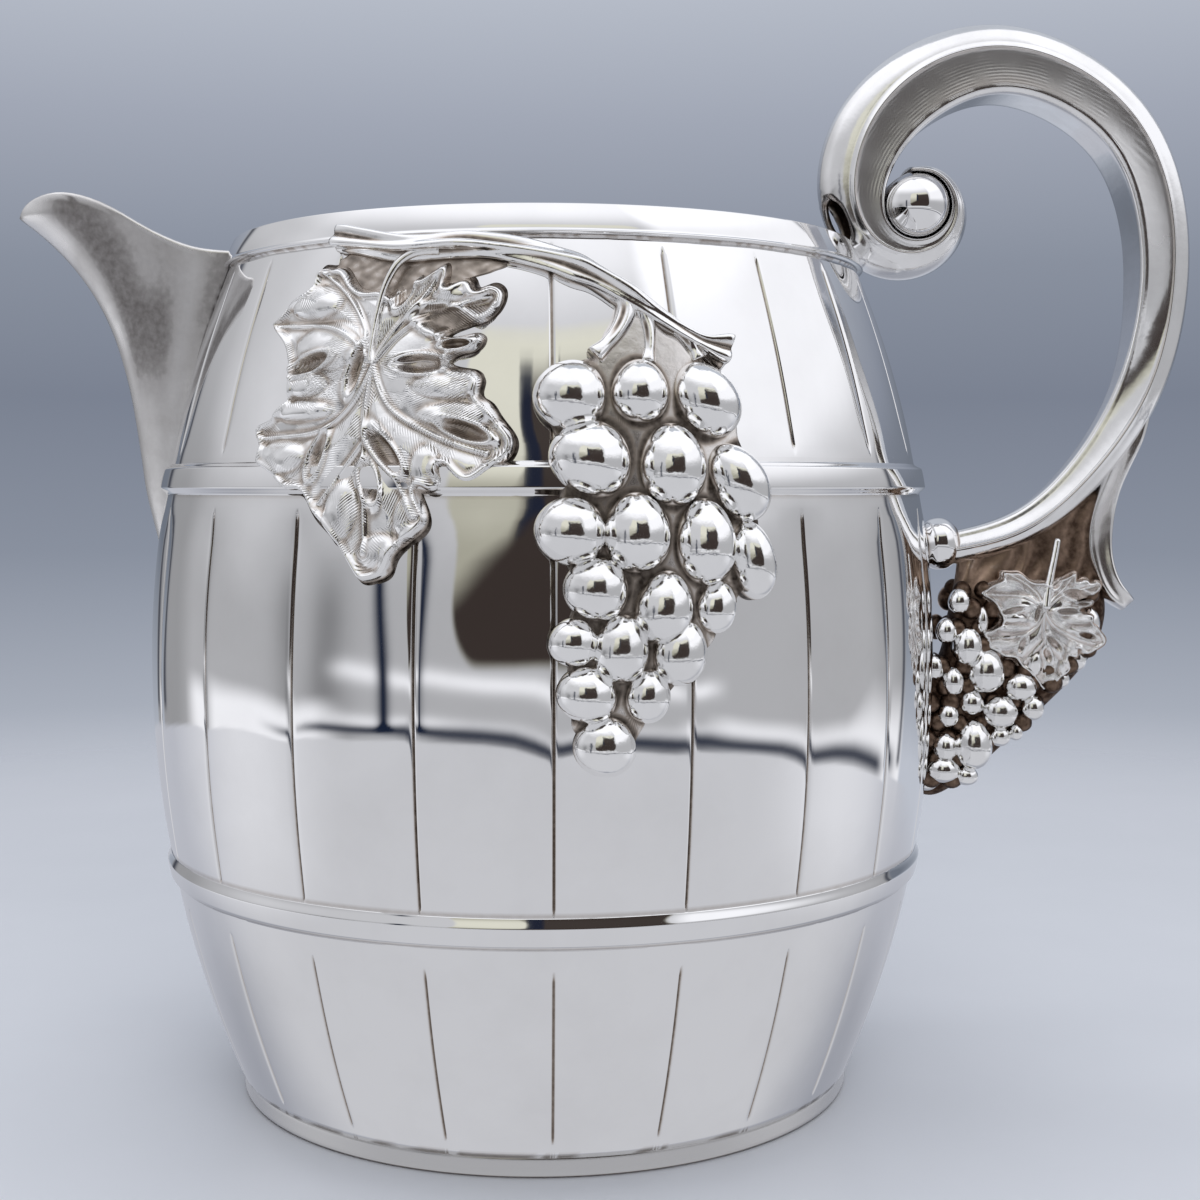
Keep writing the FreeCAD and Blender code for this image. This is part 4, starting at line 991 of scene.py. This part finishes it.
# Volute ball and knuckle: a turned ball sits in the eye of the scroll, and a beaded collar covers the
# solder where the handle's lower end meets the wall.
BALL_RADIUS = 6.1
BALL_PROUD = 3.6
BALL_AXIS = (0.45, 0.0, 0.89)
KNUCKLE_AXIS = (1.0, 0.0, 0.12)
KNUCKLE_OUTLINE = [(-0.6, 0.0), (-0.6, 3.6), (0.2, 3.7), (0.9, 3.75), (1.3, 3.9), (2.0, 4.4), (3.2, 4.75),
                   (4.4, 4.75), (5.6, 4.3), (6.5, 3.5), (7.2, 2.6), (7.6, 1.6), (7.7, 0.0)]


def bead_on_axis(middle, axis, outline):
    """A profile of place along the axis and radius, turned about an axis in the middle plane."""
    along = unit(np.array(axis))
    side = np.array([0.0, 1.0, 0.0])
    up = np.cross(side, along)
    turn = np.linspace(0, 2 * np.pi, 61)[None, :, None]
    place, radius = np.array(outline).T
    ring = np.cos(turn) * side + np.sin(turn) * up
    return middle + place[:, None, None] * along + radius[:, None, None] * ring


half_turn = np.linspace(0, np.pi, 45)
ball_outline = np.stack([-BALL_RADIUS * np.cos(half_turn), BALL_RADIUS * np.sin(half_turn)], -1)
ball_grid = bead_on_axis(EYE, BALL_AXIS, ball_outline)
seat = np.abs(ball_grid[..., 1])
ball_grid[..., 1] += BALL_PROUD * np.tanh((ball_grid[..., 1] - EYE[1]) / 0.6)
ball = make_piece("volute_ball_bright", [(ball_grid, 0.85 * fall(seat, 0.6, 2.0))])
dress(ball, polished, "polished_silver", "volute_ball")

knuckle_line = smooth_curve(KNUCKLE_OUTLINE[1:-1], 60)
knuckle_line = np.concatenate([KNUCKLE_OUTLINE[:1], knuckle_line, KNUCKLE_OUTLINE[-1:]])
knuckle_grid = bead_on_axis(KNUCKLE + np.array([0.2, 0, -0.8]), KNUCKLE_AXIS, knuckle_line)
knuckle_stain = 0.9 * hump(knuckle_line[:, 0], 0.7, 0.5) + 0.6 * hump(knuckle_line[:, 0], 6.9, 0.35)
knuckle = make_piece("handle_knuckle_bright", [(knuckle_grid, knuckle_stain[:, None])])
dress(knuckle, polished, "polished_silver", "handle_knuckle")

# Spur: a cast tail like a curling leaf that leaves the back of the handle, hollowed along its two sides
# and rounded at its tip.
SPUR_OUTER = [(42.6, 24.0), (41.6, 19.8), (39.6, 15.0), (37.4, 9.5), (36.2, 3.0), (36.2, -3.2), (37.6, -7.4),
              (40.4, -10.6)]
SPUR_INNER = [(36.0, 20.0), (34.6, 14.5), (33.0, 9.5), (31.6, 4.5), (31.2, -0.4), (32.2, -5.6), (35.0, -10.7),
              (38.0, -12.7)]
SPUR_WIDTH = 9.0
SPUR_STEPS = 70


def by_knuckle(flat, y):
    """Points from their places out and up from the knuckle and their distance from the middle plane."""
    return np.stack([KNUCKLE[0] + flat[..., 0], y, KNUCKLE[2] + flat[..., 1]], -1)


def spur_grid():
    """Two lines in the middle plane are the edges, and at each step a rounded section spans them."""
    outer_line, inner_line = smooth_curve(SPUR_OUTER, SPUR_STEPS), smooth_curve(SPUR_INNER, SPUR_STEPS)
    middle, reach = (outer_line + inner_line) / 2, (outer_line - inner_line) / 2
    run = np.linspace(0, 1, SPUR_STEPS)[:, None]
    turn = np.linspace(0, 2 * np.pi, 49)[None, :]
    wide = SPUR_WIDTH / 2 * (0.9 - 0.38 * rise(run, 0.1, 0.55) + 0.42 * rise(run, 0.6, 0.92))
    wide = wide * np.sqrt(np.clip(1 - rise(run, 0.9, 1.02) ** 2, 0.02, 1))
    across = wide * np.sign(np.sin(turn)) * np.abs(np.sin(turn)) ** 0.7
    hollow = 1 - 0.28 * np.abs(np.sin(turn)) ** 6 * np.ones_like(run)
    span = np.sign(np.cos(turn)) * np.abs(np.cos(turn)) ** 0.8
    flat = middle[:, None] + reach[:, None] * span[..., None]
    grid = by_knuckle(flat, -across * hollow)
    return drawn_together(grid, grid[0].mean(0), grid[-1].mean(0)), hollow


spur_skin, spur_hollow = spur_grid()
spur_stain = np.pad(0.3 * (1 - spur_hollow), ((1, 1), (0, 0)), mode="edge")
spur = make_piece("handle_spur_cast", [(spur_skin, spur_stain, 0.1)])
dress(spur, handle_finish, "handle_silver", "handle_spur")

# Bunch under the handle: two cast halves with grapes standing out of a dark core, filling the angle
# between the strap and the spur. Only the tops of the grapes are burnished.
HANGER_OUTLINE = [
    (7.6, -1.0), (18.0, 3.0), (30.0, 11.0), (34.5, 8.0), (34.0, -4.0), (35.0, -12.0), (33.0, -20.0),
    (27.0, -27.5), (17.0, -37.0), (7.5, -45.0), (1.8, -47.0), (-1.0, -44.5), (-1.6, -36.0), (-1.2, -26.5),
    (3.0, -23.0), (5.6, -15.0), (6.8, -8.5), (7.6, -1.0),
]
HANGER_MIDDLE = (14.0, -19.0)
HANGER_HALF = 5.0
HANGER_GRAPES = [
    (8.5, -18.9, 2.3, 3.1), (11.9, -23.5, 2.9, 3.5), (5.9, -25.4, 1.7, 2.3), (9.4, -29.3, 1.9, 2.0),
    (14.6, -31.0, 2.8, 2.6), (5.1, -31.7, 1.7, 1.9), (9.7, -37.0, 2.9, 3.9), (4.6, -37.5, 1.9, 2.3),
    (4.3, -41.6, 2.6, 2.1), (18.3, -26.4, 2.5, 2.3), (20.6, -30.3, 1.8, 2.0), (23.9, -24.3, 1.5, 1.6),
    (26.2, -25.1, 1.4, 1.5), (29.1, -21.4, 1.6, 2.0), (14.7, -35.5, 1.6, 1.6), (17.6, -34.8, 1.1, 1.3),
    (8.6, -42.8, 1.8, 1.5), (31.2, -14.7, 1.8, 2.5), (11.1, -14.1, 1.0, 2.1), (6.9, -10.7, 1.7, 2.0),
    (4.6, -16.1, 1.6, 2.0), (2.6, -22.9, 1.6, 2.1), (1.6, -43.9, 1.8, 1.6), (0.6, -30.5, 1.5, 1.9),
    (0.6, -36.0, 1.4, 1.8),
]
HANGER_GRAPE_GROWTH = 1.2
INNER_PITCH = 3.9
HANGER_AXES = np.array([[1.0, 0.0, 0.0], [0.0, 0.0, 1.0], [0.0, -1.0, 0.0]])


def hanger_core():
    """Half of the core: spokes from its middle to the outline, domed to its thickness, with round lumps below
    and a thinner web with wandering flutes under the strap."""
    edge = smooth_curve(HANGER_OUTLINE, 240)
    share = np.sin(np.linspace(0, 1, 40) * np.pi / 2)[:, None, None]
    flat = HANGER_MIDDLE + (edge - HANGER_MIDDLE) * share
    lumps = 0.5 + 0.5 * np.sin(0.55 * flat[..., 0] + 0.5) * np.sin(0.5 * flat[..., 1])
    web = rise(flat[..., 1], -12, -4)
    wander = 1.4 * np.sin(0.45 * flat[..., 1]) + 1.2 * np.sin(0.61 * flat[..., 0] + 0.8)
    flutes = 0.3 * np.sin(1.3 * flat[..., 0] - 0.6 * flat[..., 1] + wander)
    dome = np.sqrt(np.clip(1 - share[..., 0] ** 6, 0, 1))
    deep = -HANGER_HALF * dome * (0.78 - 0.42 * web) - dome * ((1 - web) * 0.6 * lumps + web * flutes)
    front = by_knuckle(flat, deep)
    back = front[::-1] * np.array([1, 0, 1])
    stain = 0.95 - web * (0.10 + 0.16 * rise(flutes, -0.2, 0.3) + 0.22 * fall(flat[..., 0], 10, 25))
    return [(np.concatenate([front, back]), np.concatenate([stain, 0 * stain + 0.9]), 0.3)]


def inner_grapes():
    """Small dark grapes in staggered rows, which fill the core between the large ones."""
    rows = np.arange(-43.0, -8.0, INNER_PITCH * 0.87)
    patches = []
    for count, up in enumerate(rows):
        left = np.interp(up, (-44, -30, -20, -8), (2.0, 1.0, 5.5, 8.0))
        right = np.interp(up, (-44, -36, -27, -20, -8), (7.0, 16.5, 26.0, 31.0, 33.0))
        for out in np.arange(left + INNER_PITCH / 2 * (count % 2), right, INNER_PITCH):
            place = (out + 0.4 * math.sin(7 * up), -(HANGER_HALF - 1.4), up + 0.4 * math.sin(5 * out))
            middle = KNUCKLE + np.array(place)
            size = INNER_PITCH * (0.48 + 0.06 * math.sin(3 * out + 2 * up))
            grid = grape_grid(middle, *HANGER_AXES, sizes=(size, size, size), tilt=0.0, steps=12)
            patches.append((grid, 0.97 - 0.16 * rise(middle[1] - grid[..., 1], 0.5 * size, size)))
    return patches


def hanger_grapes():
    """Eggs half sunk in the front of the core, bright on top and brown where they enter it."""
    patches = []
    for out, up, wide, high in HANGER_GRAPES:
        set_back = np.clip((out - 4) / 26, 0, 1) * rise(out + up * 0.62, 4.5, 10.5)
        set_back = set_back + fall(out, 0.5, 4.5)
        middle = KNUCKLE + np.array([out, -(HANGER_HALF - 0.6 - 2.0 * set_back), up])
        wide, high = wide * HANGER_GRAPE_GROWTH, high * HANGER_GRAPE_GROWTH
        radius = (wide + high) / 2
        grid = grape_grid(middle, *HANGER_AXES, sizes=(wide, high, radius * 0.95), tilt=0.0)
        bright = rise(middle[1] - grid[..., 1], -0.4 * radius, 0.1 * radius)
        patches.append((grid, 0.95 * (1 - bright)))
    return patches


hanger_parts = hanger_core() + inner_grapes() + hanger_grapes()
hanger_patches = [(seat_on_wall(grid), *levels) for grid, *levels in hanger_parts]
hanger_tones = ((0.965, 0.965, 0.965), (0.50, 0.36, 0.27), (0.055, 0.032, 0.022))
hanger_finish = silver("hanger_silver", cloud=0.12, polish=0.10, tones=hanger_tones, stretch=(1, 1, 1),
                       marks=0.4, depth=0.0002, cut=0.2)
dress_both("handle_bunch", "burnished", hanger_patches, hanger_finish, "cast_silver")

# Small leaves: the vine leaf again at about half its size, one cast on each face of that bunch, bent over
# it, with a stem that runs up to the strap.
SMALL_LEAF_NODE = np.array([22.1, -12.4])
SMALL_LEAF_SIZE = np.array([0.54, 0.46])
SMALL_STEM = [(22.1, -12.0), (22.8, -8.0), (24.0, -3.5), (25.0, 0.5)]
SMALL_STEM_STEPS = 30


def small_leaf():
    """The leaf's sheet made smaller, lower, and bent back by the square of the distance from its node. Its
    underside is set deep in the bunch."""
    flat, height, stain, strokes = leaf_sheet(spoke_count=310, inner_rows=24, outer_rows=22)
    step = (flat - LEAF_NODE) * SMALL_LEAF_SIZE
    front = HANGER_HALF + 1.0 + np.where(height > 0, 0.62, 5.0) * height - 0.012 * (step ** 2).sum(-1)
    sheet = by_knuckle(SMALL_LEAF_NODE + step, -front)
    stem = smooth_curve(SMALL_STEM, SMALL_STEM_STEPS)
    stem_y = np.linspace(-(HANGER_HALF + 2.0), -(HANGER_HALF - 1.2), SMALL_STEM_STEPS)
    path = by_knuckle(stem, stem_y)
    radius = np.linspace(0.85, 0.6, SMALL_STEM_STEPS)
    rod = tube(path, radius, np.broadcast_to([0.0, -1.0, 0.0], path.shape), sides=12)[0]
    return [(sheet, 0.4 * stain, 0.0, strokes), (rod,)]


dress_both("handle_leaf", "chased", small_leaf(), hanger_finish, "cast_silver")

# Studio: a pale table that fades into a grey-blue sweep, and a tent of white cloth seen only in the
# silver, with its front opening and seams. None of it belongs to the jug.
TABLE_EDGE = 0.62
TABLE_FADE_START = 0.16
TABLE_DROP = 0.0002
TENT_RADIUS = 0.9
TENT_MIDDLE = 0.075
CLOTH_TINT = np.array([0.985, 0.99, 1.03])
NAVY = np.array([0.010, 0.016, 0.036])
LINE_LIFT = -10.2
SEAM_TURN = -40.5
HEM_TURNS = (-140, 117.5)
OPENING_MIDDLE = (4.5, 19.5)
OPENING_HALF = (22.5, 12)
OPENING_CORNER = 9
OPENING_DARK = np.array([0.030, 0.020, 0.019])
CREAM_LOW = np.array([0.40, 0.39, 0.32])
CREAM_GAIN = np.array([0.34, 0.34, 0.31])
SWEEP_LIFTS = (-12, -7, 2, 7, 15, 40)
SWEEP_LEVELS = ((0.53, 0.36, 0.155, 0.17, 0.25, 0.52), (0.56, 0.39, 0.175, 0.19, 0.275, 0.55),
                (0.63, 0.45, 0.215, 0.23, 0.335, 0.61))
TABLE_TONE = np.array([0.585, 0.59, 0.62])
TABLE_REAR_TINT = np.array([0, 0.01, 0.04])
BACKDROP_STOPS = [(0.0, 195, 199, 208), (0.21, 196, 200, 211), (0.30, 166, 172, 184), (0.44, 136, 143, 157),
                  (0.58, 122, 129, 144), (0.70, 136, 143, 157), (0.83, 160, 166, 180), (0.94, 181, 187, 199)]
SCREEN_GAMMA = 2.2


def make_table():
    """A disc whose surface fades to nothing with the distance from the jug, so that it has no edge."""
    around = np.linspace(0, 2 * np.pi, 97)[None, :]
    radius = np.linspace(0, TABLE_EDGE, 20)[:, None]
    level = -TABLE_DROP + 0 * radius * around
    grid = np.stack([radius * np.sin(around), -radius * np.cos(around), level], -1)
    table = make_piece("table", [(grid * 1000,)])
    table.visible_glossy = False
    material, tree = fresh_material("pale_table")
    shader = tree.nodes["Principled BSDF"]
    shader.inputs["Roughness"].default_value = 0.35
    shader.inputs["Specular IOR Level"].default_value = 0.35
    place = node(tree, "TexCoord").outputs["Object"]
    far = node(tree, "VectorMath", {0: place}, operation="LENGTH").outputs["Value"]
    fade = node(tree, "MapRange", {"Value": far, "From Min": TABLE_FADE_START, "From Max": TABLE_EDGE * 0.95},
                interpolation_type="SMOOTHSTEP")
    tone = node(tree, "ValToRGB", {"Fac": noise(tree, place, scale=30.0, detail=3.0)})
    tone.color_ramp.elements[0].color = (0.72, 0.74, 0.79, 1)
    tone.color_ramp.elements[1].color = (0.76, 0.78, 0.83, 1)
    tree.links.new(tone.outputs["Color"], shader.inputs["Base Color"])
    clear = node(tree, "BsdfTransparent")
    mixed = node(tree, "MixShader", {0: fade.outputs["Result"], 1: shader.outputs[0], 2: clear.outputs[0]})
    tree.links.new(mixed.outputs[0], tree.nodes["Material Output"].inputs["Surface"])
    table.data.materials.append(material)


def over(tone, colour, share):
    """Lays a colour over the tones, as far as the share of each point says."""
    return tone + (colour - tone) * share[:, None]


def tent_tones(turn, lift):
    """Colour of the tent by angle from the camera towards the handle and by height, both in degrees.

    The table is below a thin navy line and darkens to the back. Above it the cloth is white, then grey, and
    white again overhead, brightest on the right. In front is a rounded opening, dark with a cream ceiling,
    and one seam stands left of it. Behind the jug the cloth ends in a dark hem, and there the grey-blue
    sweep is seen.
    """
    line = LINE_LIFT - 0.02 * (turn + 10)
    above = lift - line
    sides = np.clip(rise(-turn, 52, 68) * fall(-turn, 106, 118) + rise(turn, 36, 50), 0, 1)
    ahead = fall(np.abs(turn), 56, 72)
    glow = 0.44 + 0.14 * rise(lift, 6, 22) + 0.50 * rise(lift, 34, 58)
    glow = glow + 0.42 * rise(turn, 34, 44) * rise(lift, 12, 24)
    glow = glow + 0.10 * hump(turn, -90, 14) * rise(lift, 2, 8)
    glow = glow - 0.20 * hump(turn, -62, 9) * fall(lift, 2, 13)
    glow = glow - 0.12 * rise(-turn, 108, 126) * fall(lift, 16, 34)
    glow = np.minimum(glow - 0.10 * rise(turn, 98, 122) * fall(lift, 4, 12), 1.12)
    tall = 4.0 + 4.0 * rise(turn, 88, 108)
    glow = glow + (0.98 - glow) * 0.9 * fall(above, 1.2, tall) * sides
    glow = glow + (0.34 * hump(above, 0.9, 1.0) + 0.42 * hump(above, 6.6, 1.2)) * (1 - sides) * ahead
    tone = glow[:, None] * CLOTH_TINT
    beside, up = [np.abs(place - middle) - half
                  for place, middle, half in zip((turn, lift), OPENING_MIDDLE, OPENING_HALF)]
    far = np.hypot(np.maximum(up, 0), np.maximum(beside, 0)) + np.minimum(np.maximum(up, beside), 0)
    far = far - OPENING_CORNER
    front = fall(far, -1.2, 0.6)
    tone = over(tone, CREAM_LOW + CREAM_GAIN * rise(lift, 13, 30)[:, None], front)
    right_part = rise(turn, -9, -3)
    corner = rise(lift - 6.7 - 0.41 * (turn + 27), -3, 4) * (1 - right_part)
    opening = front * fall(lift - 17 * right_part, 15, 21) * (1 - corner)
    tone = over(tone, OPENING_DARK, 0.97 * opening)
    post = rise(turn, -6, -5) * fall(turn, -1, 0) * rise(lift, 14, 17) * fall(lift, 35, 38)
    seam = hump(turn, SEAM_TURN, 2.7) * fall(lift, 16, 22) * rise(above, -0.5, 0.5)
    edge = hump(above, 0, 0.50 + 0.65 * rise(turn, -45, -18))
    edge = edge * rise(turn, -85, -62) * fall(turn, 108, 118)
    hem = hump(turn, HEM_TURNS[0], 2.4) + hump(turn, HEM_TURNS[1], 1.4)
    hem = hem * rise(above, -0.5, 0.5) * fall(lift, 30, 45)
    dark = np.clip(seam + 0.95 * edge + 0.85 * post + 0.85 * hem, 0, 1)
    tone = over(tone, NAVY, dark)
    sweep = np.stack([np.interp(lift, SWEEP_LIFTS, levels) for levels in SWEEP_LEVELS], -1)
    tone = over(tone, sweep, np.maximum(rise(-turn, 141, 144), rise(turn, 118, 120.5)))
    aside = np.abs(turn)
    rear = rise(aside, 90, 135)
    shade = 1 + 0.26 * rise(aside, 55, 90) * fall(-lift, 16, 34) - 0.42 * rear
    table = shade[:, None] * TABLE_TONE + rear[:, None] * TABLE_REAR_TINT
    return over(tone, table, fall(above, -1.3, -0.9))


def make_tent():
    """A sphere about the jug, with its colour written on its points."""
    turn = np.radians(np.linspace(-180, 180, 541))[None, :]
    lift = np.concatenate([np.linspace(-90, -14, 20), np.linspace(-13.7, 26, 160), np.linspace(27, 90, 50)])
    lift = np.radians(lift)[:, None]
    grid = np.stack([np.sin(turn) * np.cos(lift), -np.cos(turn) * np.cos(lift), np.sin(lift) + 0 * turn], -1)
    tent = make_piece("light_tent", [(1000 * (TENT_RADIUS * grid + np.array([0, 0, TENT_MIDDLE])),)])
    tent.visible_camera = False
    tent.visible_diffuse = False
    tent.visible_shadow = False
    place = np.empty(3 * len(tent.data.vertices), np.float32)
    tent.data.vertices.foreach_get("co", place)
    x, y, z = place.reshape(-1, 3).T
    round_jug = np.degrees(np.arctan2(x, -y))
    tones = tent_tones(round_jug, np.degrees(np.arctan2(z - TENT_MIDDLE, np.hypot(x, y))))
    layer = tent.data.attributes.new("cloth", "FLOAT_COLOR", "POINT")
    opaque = np.pad(tones, ((0, 0), (0, 1)), constant_values=1)
    layer.data.foreach_set("color", opaque.ravel().astype(np.float32))
    material, tree = fresh_material("tent_cloth")
    material.cycles.emission_sampling = "NONE"
    tree.nodes.remove(tree.nodes["Principled BSDF"])
    cloth = node(tree, "Attribute", attribute_name="cloth").outputs["Color"]
    light = node(tree, "Emission", {"Color": cloth, "Strength": 1.0})
    tree.links.new(light.outputs[0], tree.nodes["Material Output"].inputs["Surface"])
    tent.data.materials.append(material)


def make_sweep():
    """The sweep behind the table: a ramp by height for the camera, and an even glow for everything else."""
    world = bpy.data.worlds.new("sweep")
    world.use_nodes = True
    bpy.context.scene.world = world
    tree = world.node_tree
    shown = tree.nodes["Background"]
    high = node(tree, "SeparateXYZ", {0: node(tree, "TexCoord").outputs["Generated"]}).outputs["Z"]
    ramp = node(tree, "ValToRGB", {"Fac": ranged(tree, high, -0.30, 0.30)})
    while len(ramp.color_ramp.elements) < len(BACKDROP_STOPS):
        ramp.color_ramp.elements.new(0.5)
    for element, (place, *tone) in zip(ramp.color_ramp.elements, BACKDROP_STOPS):
        element.position = place
        element.color = [(level / 255) ** SCREEN_GAMMA for level in tone] + [1]
    tree.links.new(ramp.outputs["Color"], shown.inputs["Color"])
    even = node(tree, "Background", {"Color": (0.86, 0.90, 0.98, 1), "Strength": 0.50})
    seen = node(tree, "LightPath").outputs["Is Camera Ray"]
    mixed = node(tree, "MixShader", {0: seen, 1: even.outputs[0], 2: shown.outputs[0]})
    tree.links.new(mixed.outputs[0], tree.nodes["World Output"].inputs["Surface"])


make_table()
make_tent()
make_sweep()

# Lights: a wide soft box above and one from the front right, as in a small product studio. The silver
# doesn't mirror them, because the tent gives it its reflections.
for label, place, aim, size, power in (("top_box", (0.0, 0.1, 0.95), (0, 0, 0.05), 0.9, 4.3),
                                       ("front_box", (0.10, -0.75, 0.55), (0, -0.1, 0.02), 0.6, 2.3)):
    lamp = bpy.data.lights.new(label, "AREA")
    lamp.size = size
    lamp.energy = power
    holder = bpy.data.objects.new(label, lamp)
    bpy.context.scene.collection.objects.link(holder)
    holder.location = place
    toward = np.array(aim) - np.array(place)
    holder.rotation_mode = "QUATERNION"
    holder.rotation_quaternion = Vector(toward).to_track_quat("-Z", "Y")
    holder.visible_camera = False
    holder.visible_glossy = False

# Camera: the photograph's place and lens, level with the upper hoop and looking slightly down. Its focal
# length is in pixels of the photograph.
CAMERA_PLACE = (0.0, -0.324, 0.1077)
CAMERA_YAW = 0.0310
CAMERA_PITCH = 0.0649
FOCAL_PIXELS = 1767.5
PHOTO_PIXELS = 1200
eye = bpy.data.cameras.new("photo_camera")
eye.sensor_width = 36.0
eye.lens = FOCAL_PIXELS / PHOTO_PIXELS * eye.sensor_width
eye.clip_start = 0.01
camera = bpy.data.objects.new("photo_camera", eye)
bpy.context.scene.collection.objects.link(camera)
camera.location = CAMERA_PLACE
level = math.cos(CAMERA_PITCH)
ahead = Vector((math.sin(CAMERA_YAW) * level, math.cos(CAMERA_YAW) * level, -math.sin(CAMERA_PITCH)))
camera.rotation_mode = "QUATERNION"
camera.rotation_quaternion = ahead.to_track_quat("-Z", "Y")
bpy.context.scene.camera = camera
bpy.context.scene.view_settings.view_transform = "Standard"
